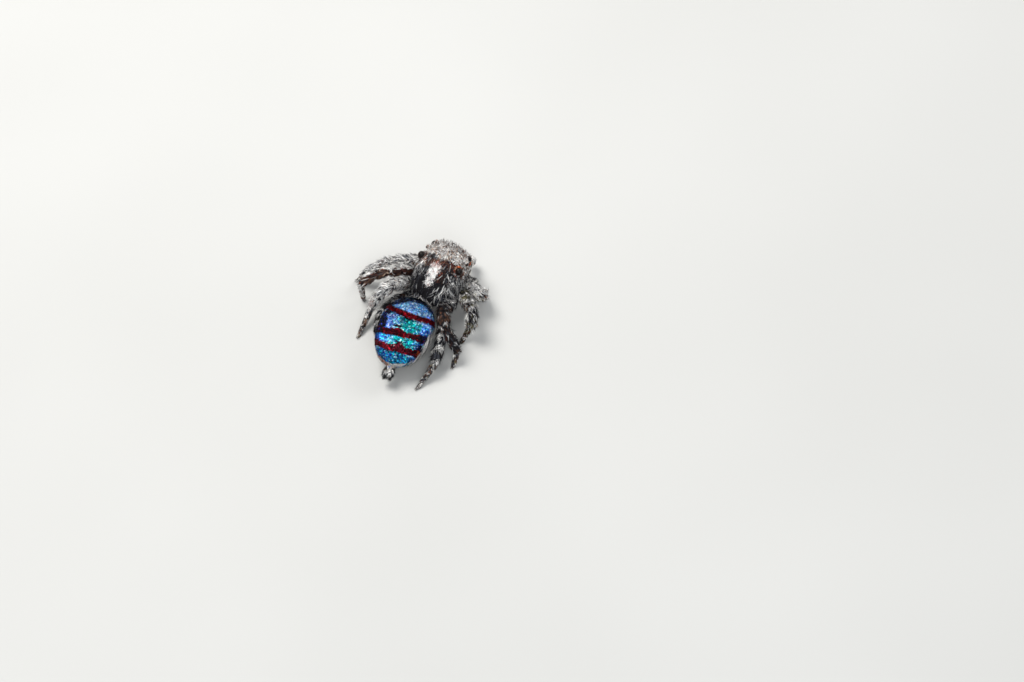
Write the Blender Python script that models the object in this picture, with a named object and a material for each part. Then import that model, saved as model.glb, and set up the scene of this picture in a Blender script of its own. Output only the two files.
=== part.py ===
"""A male peacock spider, standing still, at life size.

The shapes are worked out in millimetres and written in metres, +Z up, with the head towards -Y
and the spider's left side at +X. The origin is under the middle of the bounding box, on the floor.
"""

import math
import random

import bmesh
import bpy
import numpy as np
from mathutils import Matrix, Vector
from mathutils.bvhtree import BVHTree

MM = 0.001

# Driving sizes, in millimetres
GAP = 0.04  # between neighbouring pieces; a wider cut would take a tenth of the waist
BODY_LENGTH = 4.4
PROSOMA_LENGTH = 0.440 * BODY_LENGTH
PROSOMA_WIDTH = 0.350 * BODY_LENGTH
CARAPACE_MARGIN = 0.74  # height of the carapace's lower edge, over the hips
STERNUM_FLOOR = 0.42  # height of the underside of the breast plate
WAIST_HEIGHT = 0.70
ABDOMEN_HALF = Vector((0.86, 1.17, 0.56))  # half width, half length, half height
ABDOMEN_MIDDLE = Vector((0.17, 1.30, 0.86))
ABDOMEN_PITCH = math.radians(-10)  # the spinnerets hang lower than the waist
ABDOMEN_YAW = math.radians(-3)
HEAD_YAW = math.radians(-11)  # the head is turned to the spider's right

# Finishes: name, base colour, roughness, metallic
FINISHES = {
    "grey_scales": ((0.30, 0.28, 0.26), 0.75, 0.0),
    "dark_cuticle": ((0.060, 0.045, 0.040), 0.45, 0.0),
    "brown_cuticle": ((0.20, 0.085, 0.045), 0.45, 0.0),
    "eye_lens": ((0.010, 0.008, 0.008), 0.08, 0.0),
    "blue_scales": ((0.03, 0.22, 0.62), 0.35, 0.4),
    "red_scales": ((0.42, 0.02, 0.02), 0.45, 0.2),
    "white_hair": ((0.72, 0.70, 0.68), 0.80, 0.0),
}


def clear_scene():
    for obj in list(bpy.data.objects):
        bpy.data.objects.remove(obj, do_unlink=True)


def finish_of(name):
    material = bpy.data.materials.get(name)
    if material:
        return material
    colour, roughness, metallic = FINISHES[name]
    material = bpy.data.materials.new(name)
    material.use_nodes = True
    shader = material.node_tree.nodes["Principled BSDF"]
    shader.inputs["Base Color"].default_value = (*colour, 1.0)
    shader.inputs["Roughness"].default_value = roughness
    shader.inputs["Metallic"].default_value = metallic
    material.diffuse_color = (*colour, 1.0)
    return material


# Mesh helpers


def object_from(bm, name, finish="grey_scales"):
    bmesh.ops.recalc_face_normals(bm, faces=bm.faces)
    mesh = bpy.data.meshes.new(name)
    bm.to_mesh(mesh)
    bm.free()
    mesh.materials.append(finish_of(finish))
    obj = bpy.data.objects.new(name, mesh)
    bpy.context.scene.collection.objects.link(obj)
    return obj


def lofted(rings, name, finish="grey_scales"):
    """A closed skin over rings of equal count. A ring of one point closes an end to a tip."""
    bm = bmesh.new()
    loops = [[bm.verts.new(point) for point in ring] for ring in rings]
    for low, high in zip(loops, loops[1:]):
        count = max(len(low), len(high))
        for i in range(count):
            j = (i + 1) % count
            corners = [low[i % len(low)], low[j % len(low)], high[j % len(high)], high[i % len(high)]]
            bm.faces.new(list(dict.fromkeys(corners)))
    for loop in (loops[0], loops[-1]):
        if len(loop) > 2:
            bm.faces.new(loop)
    return object_from(bm, name, finish)


def ellipsoid(half, name, finish="grey_scales", around=32, along=18, squareness=2.0, taper=0.0):
    """A closed ellipsoid or rounder box, its poles on the Y axis, narrower behind by the taper."""
    power = 2.0 / squareness

    def bent(value):
        return math.copysign(abs(value) ** power, value)

    rings = [[Vector((0, -half.y, 0))]]
    for row in range(1, along):
        lat = math.pi * row / along
        narrowing = 1 + taper * math.cos(lat)
        ring = []
        for col in range(around):
            lon = 2 * math.pi * col / around
            ring.append(Vector((
                half.x * narrowing * bent(math.sin(lat)) * bent(math.cos(lon)),
                -half.y * math.cos(lat),
                half.z * bent(math.sin(lat)) * bent(math.sin(lon)),
            )))
        rings.append(ring)
    rings.append([Vector((0, half.y, 0))])
    return lofted(rings, name, finish)


def block(low, high, name="block"):
    """A box between two corners, used as a cutter."""
    bm = bmesh.new()
    bmesh.ops.create_cube(bm, size=1.0)
    low, high = Vector(low), Vector(high)
    for vert in bm.verts:
        vert.co = Vector(a + (b - a) * (c + 0.5) for a, b, c in zip(low, high, vert.co))
    return object_from(bm, name)


def place(obj, matrix):
    obj.data.transform(matrix)
    return obj


def is_closed(mesh):
    """Whether the mesh has faces and each of its edges lies between two of them."""
    bm = bmesh.new()
    bm.from_mesh(mesh)
    closed = len(bm.faces) > 0 and all(edge.is_manifold for edge in bm.edges)
    bm.free()
    return closed


def joined(obj, tool, operation):
    """Applies one Boolean with the tool, which stays in the scene."""
    for solver in ("EXACT", "MANIFOLD"):
        modifier = obj.modifiers.new("cut", "BOOLEAN")
        modifier.operation = operation
        modifier.solver = solver
        modifier.object = tool
        graph = bpy.context.evaluated_depsgraph_get()
        mesh = bpy.data.meshes.new_from_object(obj.evaluated_get(graph))
        obj.modifiers.clear()
        if is_closed(mesh):
            break
    old = obj.data
    obj.data = mesh
    bpy.data.meshes.remove(old)
    return obj


def cut(obj, *tools):
    for tool in tools:
        joined(obj, tool, "DIFFERENCE")
    return obj


def common(obj, tool):
    return joined(obj, tool, "INTERSECT")


def united(obj, pieces):
    """Joins the pieces to the object in one union, then keeps its largest closed surface."""
    group = bpy.data.collections.new("pieces")
    for piece in pieces:
        group.objects.link(piece)
    for solver in ("EXACT", "MANIFOLD"):
        modifier = obj.modifiers.new("join", "BOOLEAN")
        modifier.operation = "UNION"
        modifier.operand_type = "COLLECTION"
        modifier.solver = solver
        modifier.collection = group
        graph = bpy.context.evaluated_depsgraph_get()
        mesh = bpy.data.meshes.new_from_object(obj.evaluated_get(graph))
        obj.modifiers.clear()
        if is_closed(mesh):
            break
    old = obj.data
    obj.data = mesh
    bpy.data.meshes.remove(old)
    bpy.data.collections.remove(group)
    drop(*pieces)
    return keep_largest(obj)


def keep_largest(obj):
    """Drops every closed surface but the one with the most volume."""
    bm = bmesh.new()
    bm.from_mesh(obj.data)
    unseen = set(bm.faces)
    shells = []
    while unseen:
        stack = [unseen.pop()]
        shell = []
        while stack:
            face = stack.pop()
            shell.append(face)
            for edge in face.edges:
                for other in edge.link_faces:
                    if other in unseen:
                        unseen.remove(other)
                        stack.append(other)
        volume = sum(
            face.verts[0].co.dot(face.verts[i].co.cross(face.verts[i + 1].co))
            for face in shell
            for i in range(1, len(face.verts) - 1)
        )
        shells.append((abs(volume), shell))
    shells.sort(key=lambda pair: pair[0])
    small = [face for _, shell in shells[:-1] for face in shell]
    if small:
        bmesh.ops.delete(bm, geom=small, context="FACES")
        bm.to_mesh(obj.data)
    bm.free()
    return obj


def drop(*tools):
    for tool in tools:
        bpy.data.objects.remove(tool, do_unlink=True)


# Locks of the coat

LOCK_SINK = 0.05  # how deep a lock's root lies in its piece
LOCK_THICK = 0.045
# Share of the length, share of the width, share of the lift
LOCK_STATIONS = ((0.0, 0.75, 0.0), (0.22, 1.0, 0.70), (0.50, 0.90, 1.0), (0.78, 0.55, 1.05))
LOCK_TIP_LIFT = 0.85
LOCK_ROOM = 0.045  # between a lock and what it does not grow from
chance = random.Random(11)


def varied(value, spread=0.18):
    return value * (1 + chance.uniform(-spread, spread))


def lock(root, normal, lie, length, width, lift, swing):
    """A flat tapered lock with a ridge. It rises from its root, bends over and follows the lie."""
    lie = (lie - normal * lie.dot(normal)).normalized()
    across = normal.cross(lie)
    rings = []
    for share, wide, raised in LOCK_STATIONS:
        height = lift * raised if share else -LOCK_SINK
        middle = root + length * (share * lie + swing * share ** 2 * across) + normal * height
        half = 0.5 * width * wide
        rings.append([middle + across * half, middle + normal * LOCK_THICK, middle - across * half])
    rings.append([root + length * (lie + swing * across) + normal * lift * LOCK_TIP_LIFT])
    return rings


def surface_tree(obj):
    bm = bmesh.new()
    bm.from_mesh(obj.data)
    tree = BVHTree.FromBMesh(bm)
    bm.free()
    return tree


def hit(tree, middle, outward, reach=0.9):
    """Where a ray from inside leaves the surface, and the surface's normal there."""
    point, normal, _, _ = tree.ray_cast(middle + outward.normalized() * reach, -outward.normalized())
    return point, normal


class Coat:
    """Grows locks on one piece, each clear of all other pieces and of the locks on them."""

    grown = []  # the points of every lock so far, with the name of its piece

    def __init__(self, obj):
        self.obj = obj
        self.tree = surface_tree(obj)
        self.others = [surface_tree(other) for other in bpy.data.objects if other != obj]
        self.locks = []

    def is_clear(self, points):
        for point in points:
            for tree in self.others:
                near, normal, _, distance = tree.find_nearest(point)
                if distance < LOCK_ROOM or (point - near).dot(normal) < -0.7 * distance:
                    return False
            for name, other in Coat.grown:
                if name != self.obj.name and (other - point).length < LOCK_ROOM:
                    return False
        return all(point.z > LOCK_ROOM for point in points)

    def grow(self, middle, outward, lie, length, width, lift):
        """Roots a lock where the ray leaves the piece, shorter where a neighbour is close."""
        root, normal = hit(self.tree, middle, outward)
        length, lift, swing = varied(length), varied(lift), chance.uniform(-0.16, 0.16)
        if root is None:
            return
        for short in (1.0, 0.8, 0.6):
            rings = lock(root, normal, lie, short * length, width, lift, swing)
            points = [point for ring in rings[1:] for point in ring]
            if self.is_clear(points):
                self.locks.append(lofted(rings, "lock"))
                Coat.grown.extend((self.obj.name, point) for point in points)
                return

    def finish(self):
        slot = self.obj.data.materials[0]
        united(self.obj, self.locks)
        self.obj.data.materials.clear()
        self.obj.data.materials.append(slot)
        for face in self.obj.data.polygons:
            face.material_index = 0


# The prosoma: a carapace over a breast plate


def prosoma_frame():
    """Carries the prosoma's own frame, nose along -Y from the waist, to where it stands."""
    return Matrix.Rotation(HEAD_YAW, 4, "Z")


# Stations from the waist forward: share of the length, share of the half width, height of the top
CARAPACE_STATIONS = (
    (0.00, 0.26, 0.82),
    (0.06, 0.50, 0.97),
    (0.18, 0.80, 1.23),
    (0.34, 0.97, 1.50),
    (0.50, 1.00, 1.65),
    (0.64, 1.00, 1.68),
    (0.80, 0.97, 1.63),
    (0.92, 0.92, 1.54),
    (0.98, 0.85, 1.47),
    (1.00, 0.76, 1.40),
)
SQUARE_ARCH = 2.7  # how boxy the carapace is in section
ARCH_STEPS = 14


def carapace_section(share, wide, top, grow=0.0):
    """One arch of the carapace, closed along its flat lower edge."""
    half = wide * PROSOMA_WIDTH / 2 + grow
    base = CARAPACE_MARGIN - grow + 0.10 * max(0.0, share - 0.8) / 0.2
    height = top + grow - base
    y = -share * PROSOMA_LENGTH
    ring = []
    for step in range(ARCH_STEPS + 1):
        angle = math.pi * step / ARCH_STEPS
        x = math.copysign(abs(math.cos(angle)) ** (2 / SQUARE_ARCH), math.cos(angle))
        z = math.sin(angle) ** (2 / SQUARE_ARCH)
        ring.append(Vector((half * x * (1 - 0.08 * (1 - z)), y, base + height * z)))
    return ring


def carapace_shell(name, grow=0.0):
    rings = [carapace_section(*station, grow=grow) for station in CARAPACE_STATIONS]
    for point in rings[0]:
        point.y += grow
    for point in rings[-1]:
        point.y -= grow
    return lofted(rings, name)


STERNUM_HALF_WIDTH = 0.36
STERNUM_STATIONS = ((0.07, 0.30), (0.16, 0.62), (0.32, 0.92), (0.50, 1.0), (0.68, 0.92), (0.82, 0.70), (0.86, 0.5))


def sternum_shell(name, grow=0.0):
    """The breast plate and the flesh above it, between the hips."""
    top = CARAPACE_MARGIN - GAP + grow
    low = STERNUM_FLOOR - grow
    rings = []
    for share, wide in STERNUM_STATIONS:
        half = wide * STERNUM_HALF_WIDTH + grow
        dip = 0.06 * (1 - wide)
        y = -share * PROSOMA_LENGTH
        rings.append([
            Vector((half, y, top)),
            Vector((half, y, low + dip + 0.09)),
            Vector((0.6 * half, y, low + dip)),
            Vector((-0.6 * half, y, low + dip)),
            Vector((-half, y, low + dip + 0.09)),
            Vector((-half, y, top)),
        ])
    for point in rings[0]:
        point.y += grow
    for point in rings[-1]:
        point.y -= grow
    return lofted(rings, name)


# Eyes: name, distance from the middle, share of the length, height, lens radius
EYES = (
    ("front_middle", 0.235, 0.955, 1.16, 0.200),
    ("front_side", 0.580, 0.915, 1.23, 0.115),
    ("small_side", 0.685, 0.770, 1.36, 0.050),
    ("rear_side", 0.650, 0.560, 1.47, 0.120),
)


def ball(radius, centre, name, finish="eye_lens", rows=8):
    bm = bmesh.new()
    bmesh.ops.create_uvsphere(bm, u_segments=2 * rows, v_segments=rows, radius=radius)
    bmesh.ops.translate(bm, verts=bm.verts, vec=centre)
    return object_from(bm, name, finish)


def make_head():
    carapace = carapace_shell("carapace")
    for eye, side, share, height, radius in EYES:
        for sign, label in ((1, "left"), (-1, "right")):
            centre = Vector((sign * side, -share * PROSOMA_LENGTH, height))
            rows = 8 if radius > 0.1 else 5
            socket = ball(radius + GAP, centre, "socket", rows=rows)
            cut(carapace, socket)
            drop(socket)
            lens = ball(radius, centre, f"eye_{eye}_{label}", rows=rows)
            place(lens, prosoma_frame())
    place(carapace, prosoma_frame())
    sternum = sternum_shell("sternum")
    sternum.data.materials[0] = finish_of("dark_cuticle")
    place(sternum, prosoma_frame())


# Rows of locks on the carapace: share of the length, then angles over the horizontal of one side
CARAPACE_ROWS = (
    (0.08, (34, 54, 74)),
    (0.16, (26, 42, 58, 76)),
    (0.25, (22, 38, 54, 70)),
    (0.34, (18, 32, 46, 62, 80)),
    (0.43, (16, 30, 44, 58)),
    (0.52, (14, 26)),
    (0.62, (12, 24)),
    (0.74, (12,)),
)
CARAPACE_LOCK = (0.42, 0.13, 0.10)  # length, width, lift
COAT_AXIS_HEIGHT = 0.85  # the rays that root the carapace's locks start here
LIP_LOCKS = 7  # over the jaws
LIP_HALF_SPAN = 0.46
LIP_SHARE = 0.9  # of the length of the prosoma
LIP_HEIGHT = 0.905
LIP_LOCK = (0.20, 0.12, 0.05)


def dress_carapace():
    """Long hair flowing back over the flanks and rear, and a fringe over the jaws."""
    coat = Coat(bpy.data.objects["carapace"])
    frame = prosoma_frame()
    turned = frame.to_3x3()
    for share, angles in CARAPACE_ROWS:
        for sign in (1, -1):
            for angle in angles:
                turn = math.radians(angle + chance.uniform(-5, 5))
                middle = Vector((0, -(share + chance.uniform(-0.02, 0.02)) * PROSOMA_LENGTH, COAT_AXIS_HEIGHT))
                outward = Vector((sign * math.cos(turn), 0, math.sin(turn)))
                coat.grow(frame @ middle, turned @ outward, turned @ Vector((0, 1, -0.10)), *CARAPACE_LOCK)
    for step in range(LIP_LOCKS):
        x = LIP_HALF_SPAN * (2 * step / (LIP_LOCKS - 1) - 1)
        middle = Vector((x, -LIP_SHARE * PROSOMA_LENGTH, LIP_HEIGHT))
        coat.grow(frame @ middle, turned @ Vector((0, -1, 0)), turned @ Vector((0, -0.2, -1)), *LIP_LOCK)
    coat.finish()


# Tubes for legs, palps and jaws


def tube_rings(points, radii, sides, normals=None, squash=1.0):
    """Rings square to a path. radii[i] is at points[i]."""
    rings = []
    count = len(points)
    across = None
    for i, point in enumerate(points):
        if normals and normals[i] is not None:
            ahead = normals[i].normalized()
        else:
            ahead = (points[min(i + 1, count - 1)] - points[max(i - 1, 0)]).normalized()
        if across is None:
            across = ahead.cross(Vector((0, 0, 1)))
            if across.length < 0.1:
                across = ahead.cross(Vector((1, 0, 0)))
        across = (across - ahead * across.dot(ahead)).normalized()
        third = ahead.cross(across)
        ring = []
        for step in range(sides):
            angle = 2 * math.pi * (step + 0.5) / sides
            ring.append(point + radii[i] * (squash * math.cos(angle) * across + math.sin(angle) * third))
        rings.append(ring)
    return rings


# Legs. Where each coxa leaves the breast plate, along the prosoma, and how far forward it points
HIP_SHARE = {1: 0.69, 2: 0.535, 3: 0.38, 4: 0.225}
HIP_HEADING = {1: 24, 2: 4, 3: -14, 4: -40}  # degrees forward of straight out
HIP_ROOT = 0.24  # from the middle line
HIP_HEIGHT = 0.57
COXA_LENGTH = 0.50
LEG_SIDES = 8
CLAW_TUFT = 0.06  # how far the foot would reach on through the floor that cuts it flat
PATELLA_SHARE = {1: 0.42, 2: 0.42, 3: 0.36, 4: 0.36}  # of the way from knee to ankle
PATELLA_BLEND = 0.40  # how far the patella still points the femur's way
TARSUS_SHARE = 0.58  # where the tarsus starts on the way from ankle to tip

# Knee, ankle and tip of each foot, as the spider stands
STANCE = {
    "1_left": ((1.27, -1.16, 0.82), (2.10, -0.64, 0.44), (2.34, -0.62)),
    "2_left": ((1.30, -0.53, 1.10), (2.03, -0.10, 0.72), (1.92, -0.02)),
    "3_left": ((0.98, 0.02, 1.28), (1.50, 0.38, 0.46), (1.64, 1.34)),
    "4_left": ((1.04, 0.50, 0.55), (1.06, 1.15, 0.33), (0.82, 1.80)),
    "1_right": ((-1.44, -0.78, 0.88), (-1.52, -1.12, 0.40), (-1.43, -1.40)),
    "2_right": ((-1.57, 0.03, 1.03), (-1.58, 0.20, 0.42), (-1.38, 0.60)),
    "3_right": ((-0.79, 0.52, 1.30), (-1.48, 1.18, 0.44), (-1.44, 1.52)),
    "4_right": ((-0.84, 0.60, 0.66), (-0.98, 1.84, 0.42), (-0.66, 2.60)),
}


def hip_of(pair, sign):
    """Middle of the coxa's root and its heading, where the prosoma stands."""
    frame = prosoma_frame()
    root = Vector((sign * HIP_ROOT, -HIP_SHARE[pair] * PROSOMA_LENGTH, HIP_HEIGHT))
    angle = math.radians(HIP_HEADING[pair])
    heading = Vector((sign * math.cos(angle), -math.sin(angle), 0))
    return frame @ root, frame.to_3x3() @ heading


def leg_points(pair, label):
    """Root, trochanter, knee, patella end, ankle, tarsus root and tip of one leg."""
    root, heading = hip_of(pair, 1 if label == "left" else -1)
    hip = root + heading * COXA_LENGTH
    knee, ankle, tip = STANCE[f"{pair}_{label}"]
    knee, ankle, tip = Vector(knee), Vector(ankle), Vector((*tip, 0))
    shin = ankle - knee
    bent = (knee - hip).normalized().lerp(shin.normalized(), 1 - PATELLA_BLEND).normalized()
    patella_end = knee + PATELLA_SHARE[pair] * shin.length * bent
    tarsus_root = ankle.lerp(tip, TARSUS_SHARE) - Vector((0, 0, 0.06 * (ankle.z - tip.z)))
    return [root, hip, knee, patella_end, ankle, tarsus_root, tip]


# Radius along each segment: (share, radius)
GIRTH = {
    "coxa": ((0.0, 0.125), (0.5, 0.14), (0.80, 0.13)),
    "femur": ((0.15, 0.15), (0.30, 0.19), (0.60, 0.205), (0.88, 0.175)),
    "patella": ((0.15, 0.165), (0.5, 0.185), (0.88, 0.16)),
    "tibia": ((0.14, 0.145), (0.5, 0.165), (0.86, 0.14)),
    "metatarsus": ((0.12, 0.115), (0.5, 0.115), (0.9, 0.10)),
    "tarsus": ((0.12, 0.09), (0.5, 0.095), (0.85, 0.08)),
}
JOINT_GIRTH = {
    "hip": 0.125, "knee": 0.15, "patella_end": 0.14, "ankle": 0.115, "tarsus_root": 0.08, "tip": 0.065,
}


def leg_piece(points, names, ends, girths, name):
    """One stiff length of a leg. Its end faces stand half a gap off the joints' middle planes."""
    planes = [ends[0] and ends[0][:2]]
    for before, here, after in zip(points, points[1:], points[2:]):
        planes.append((here, ((here - before).normalized() + (after - here).normalized()).normalized()))
    planes.append(ends[1] and ends[1][:2])
    path, radii, normals = [], [], []
    for index, segment in enumerate(names):
        start, stop = points[index], points[index + 1]
        along = (stop - start).normalized()
        for share, radius in GIRTH[segment]:
            point = start.lerp(stop, share)
            if all(clears(plane, point, along, radius) for plane in planes[index:index + 2]):
                path.append(point)
                radii.append(radius)
                normals.append(along)
        if index < len(names) - 1:
            path.append(stop.copy())
            radii.append(girths[index])
            normals.append(planes[index + 1][1])
    first, last = ends
    if first:
        middle, ahead, radius = first
        path.insert(0, middle + ahead * GAP / 2)
        radii.insert(0, radius)
        normals.insert(0, ahead)
    if last:
        middle, ahead, radius = last
        path.append(middle - ahead * GAP / 2)
        radii.append(radius)
        normals.append(ahead)
    rings = tube_rings(path, radii, LEG_SIDES, normals)
    return lofted(rings, name)


def clears(plane, point, along, radius):
    """Whether a ring at this point stays on its own side of the joint's slanted plane."""
    if plane is None:
        return True
    middle, ahead = plane
    lean = math.acos(max(-1.0, min(1.0, along.dot(ahead))))
    return abs((point - middle).dot(along)) > 1.1 * radius * math.tan(lean) + GAP


def middle_plane(points, index):
    before = (points[index] - points[index - 1]).normalized()
    after = (points[index + 1] - points[index]).normalized()
    return (before + after).normalized()


def make_legs():
    sternum_room = place(sternum_shell("sternum_room", GAP), prosoma_frame())
    carapace_room = place(carapace_shell("carapace_room", GAP), prosoma_frame())
    for pair in HIP_SHARE:
        for label in ("left", "right"):
            points = leg_points(pair, label)
            root, hip, knee, patella_end, ankle, tarsus_root, tip = points
            knee_plane = middle_plane(points, 2)
            ankle_plane = middle_plane(points, 4)
            knee_end = (knee, knee_plane, JOINT_GIRTH["knee"])
            ankle_end = (ankle, ankle_plane, JOINT_GIRTH["ankle"])
            stem = f"leg_{pair}_{label}"
            thigh = leg_piece(
                points[:3], ("coxa", "femur"), (None, knee_end), (JOINT_GIRTH["hip"],), f"{stem}_femur",
            )
            cut(thigh, sternum_room, carapace_room)
            leg_piece(
                points[2:5], ("patella", "tibia"), (knee_end, ankle_end), (JOINT_GIRTH["patella_end"],),
                f"{stem}_tibia",
            )
            toe = (tip - tarsus_root).normalized()
            tip_end = (tip + toe * CLAW_TUFT, toe, JOINT_GIRTH["tip"])
            foot = leg_piece(
                points[4:7], ("metatarsus", "tarsus"), (ankle_end, tip_end), (JOINT_GIRTH["tarsus_root"],),
                f"{stem}_foot",
            )
            flatten_foot(foot)
    drop(sternum_room, carapace_room)


LEG_LOCK_ANGLES = (-62, 0, 62)  # around the leg, from its top
FEMUR_ROWS = (0.36, 0.54, 0.72)  # share of the way from hip to knee
SHIN_ROWS = (0.02, 0.28, 0.54)  # share of the way from the patella's end to the ankle
FEMUR_LOCK = (0.30, 0.13, 0.085)
SHIN_LOCK = (0.26, 0.13, 0.085)


def dress_length(name, start, stop, shares, size):
    """Tufts over the top and upper sides of one length of a leg, lying towards the foot."""
    coat = Coat(bpy.data.objects[name])
    along = (stop - start).normalized()
    up = Vector((0, 0, 1))
    top = (up - along * up.dot(along)).normalized()
    for row, share in enumerate(shares):
        for angle in LEG_LOCK_ANGLES:
            turn = Matrix.Rotation(math.radians(angle + 30 * (row % 2) + chance.uniform(-8, 8)), 3, along)
            middle = start.lerp(stop, share + chance.uniform(-0.03, 0.03))
            coat.grow(middle, turn @ top, along, *size)
    coat.finish()


def dress_legs():
    for pair in HIP_SHARE:
        for label in ("left", "right"):
            _, hip, knee, patella_end, ankle, _, _ = leg_points(pair, label)
            dress_length(f"leg_{pair}_{label}_femur", hip, knee, FEMUR_ROWS, FEMUR_LOCK)
            dress_length(f"leg_{pair}_{label}_tibia", patella_end, ankle, SHIN_ROWS, SHIN_LOCK)


def flatten_foot(foot):
    """Cuts the foot off level with the floor."""
    floor = block((-9, -9, -2), (9, 9, 0), "floor_cut")
    cut(foot, floor)
    drop(floor)


# Jaws and palps

# Joints of each palp: to the side, share of the length of the prosoma, height
PALP_PATHS = {
    "left": (
        (0.20, 0.84, 0.60), (0.40, 0.90, 0.58), (0.52, 0.99, 0.62), (0.52, 1.10, 0.68), (0.49, 1.18, 0.62),
        (0.46, 1.215, 0.50), (0.43, 1.21, 0.37), (0.41, 1.19, 0.27),
    ),
    "right": (
        (0.20, 0.84, 0.58), (0.38, 0.90, 0.54), (0.45, 0.98, 0.55), (0.43, 1.08, 0.58), (0.41, 1.15, 0.53),
        (0.39, 1.18, 0.43), (0.37, 1.175, 0.33), (0.36, 1.16, 0.25),
    ),
}
PALP_RADII = (0.085, 0.09, 0.095, 0.105, 0.10, 0.13, 0.12, 0.06)


def make_mouthparts():
    frame = prosoma_frame()
    sternum_room = place(sternum_shell("sternum_room", GAP), frame)
    carapace_room = place(carapace_shell("carapace_room", GAP), frame)
    nose = -PROSOMA_LENGTH
    for sign, label in ((1, "left"), (-1, "right")):
        jaw = [
            Vector((sign * 0.185, nose + 0.20, 0.86)),
            Vector((sign * 0.185, nose + 0.13, 0.72)),
            Vector((sign * 0.180, nose + 0.11, 0.55)),
            Vector((sign * 0.160, nose + 0.16, 0.40)),
            Vector((sign * 0.150, nose + 0.20, 0.34)),
        ]
        rings = tube_rings(jaw, (0.13, 0.155, 0.15, 0.115, 0.06), 10)
        chelicera = place(lofted(rings, f"chelicera_{label}", "brown_cuticle"), frame)
        cut(chelicera, carapace_room, sternum_room)
        palp = [Vector((sign * x, -share * PROSOMA_LENGTH, z)) for x, share, z in PALP_PATHS[label]]
        rings = tube_rings(palp, PALP_RADII, LEG_SIDES)
        feeler = place(lofted(rings, f"palp_{label}"), frame)
        cut(feeler, carapace_room, sternum_room, chelicera_room(jaw, frame))
        drop(bpy.data.objects["jaw_room"])
    drop(sternum_room, carapace_room)


PALP_LOCK_SHARES = (-1.04, -1.12)  # along the prosoma, past its nose
PALP_CREST = 3  # the highest joint of a palp
PALP_LOCK_DEPTH = 0.03  # below it, the point that the locks' rays start from
PALP_LOCK_TILTS = (-35, 35)  # degrees off upright
PALP_LOCK = (0.20, 0.09, 0.06)


def dress_palps():
    """A few white tufts along the top of each palp, lying towards its tip."""
    frame = prosoma_frame()
    turned = frame.to_3x3()
    for sign, label in ((1, "left"), (-1, "right")):
        coat = Coat(bpy.data.objects[f"palp_{label}"])
        for share in PALP_LOCK_SHARES:
            for tilt in PALP_LOCK_TILTS:
                outward = Vector((math.sin(math.radians(tilt)), 0, 1))
                side, _, height = PALP_PATHS[label][PALP_CREST]
                middle = Vector((sign * side, share * PROSOMA_LENGTH, height - PALP_LOCK_DEPTH))
                coat.grow(frame @ middle, turned @ outward, turned @ Vector((0, -1, 0)), *PALP_LOCK)
        coat.finish()


def chelicera_room(jaw, frame):
    rings = tube_rings(jaw, (0.17, 0.195, 0.19, 0.155, 0.10), 10)
    return place(lofted(rings, "jaw_room"), frame)


# The abdomen, its fan and the waist

PLATE_THICK = 0.20
BAR_DEPTH = 0.09
FAN_EDGE = 0.00  # height of the fan plate's rim over the abdomen's middle
FLAP_EDGE = -0.30  # height of the lower edge of the folded flaps
FLAP_HALF_LENGTH = 0.78
ABDOMEN_SQUARENESS = 2.15
ABDOMEN_TAPER = 0.07

# Red bars: distance behind the middle, half thickness, bow, slant, forward bump, its half span, its place
BARS = (
    (-0.395, 0.082, -0.26, -0.06, 0.02, 0.30, 0.0),
    (0.280, 0.074, -0.20, 0.075, 0.10, 0.20, 0.08),
    (0.730, 0.072, -0.28, 0.008, 0.11, 0.15, -0.12),
)
BAR_REAR_BUMP = 0.35  # share of the bump that the rear edge follows
BAR_STEPS = 16


def abdomen_frame():
    return (
        Matrix.Translation(ABDOMEN_MIDDLE)
        @ Matrix.Rotation(ABDOMEN_YAW, 4, "Z")
        @ Matrix.Rotation(ABDOMEN_PITCH, 4, "X")
    )


def abdomen_shell(name, inset=0.0, finish="grey_scales"):
    """The abdomen's outer shape, or the same shape this far inside it."""
    half = ABDOMEN_HALF - Vector((inset, inset, inset))
    return ellipsoid(
        half, name, finish, around=26, along=15, squareness=ABDOMEN_SQUARENESS, taper=ABDOMEN_TAPER,
    )


def bar_line(bar, x, side, grow=0.0):
    """Rear (+1) or front (-1) edge of a bar at x."""
    behind, half, bow, slant, bump, span, bump_at = bar
    rise = bump * math.exp(-(((x - bump_at) / span) ** 2))
    out = x / ABDOMEN_HALF.x
    line = behind + bow * out ** 2 + slant * out
    return line - rise * (1.0 if side < 0 else BAR_REAR_BUMP) + side * (half + grow)


def bar_slab(bar, name, grow=0.0):
    """A tall block with a bar's outline, seen from above."""
    reach = ABDOMEN_HALF.x + 0.3
    xs = [reach * (2 * i / BAR_STEPS - 1) for i in range(BAR_STEPS + 1)]
    outline = [(x, bar_line(bar, x, -1, grow)) for x in xs]
    outline += [(x, bar_line(bar, x, 1, grow)) for x in reversed(xs)]
    rings = [[Vector((x, y, z)) for x, y in outline] for z in (FAN_EDGE + 0.10 - grow, 1.5)]
    return lofted(rings, name)


def flap_window(sign, name, grow=0.0):
    """The stretch of one side that a folded flap covers."""
    inner, outer = sign * (0.42 - grow), sign * 2
    low = (min(inner, outer), -FLAP_HALF_LENGTH - grow, FLAP_EDGE - grow)
    high = (max(inner, outer), FLAP_HALF_LENGTH + grow, FAN_EDGE - GAP + grow)
    return block(low, high, name)


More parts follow.
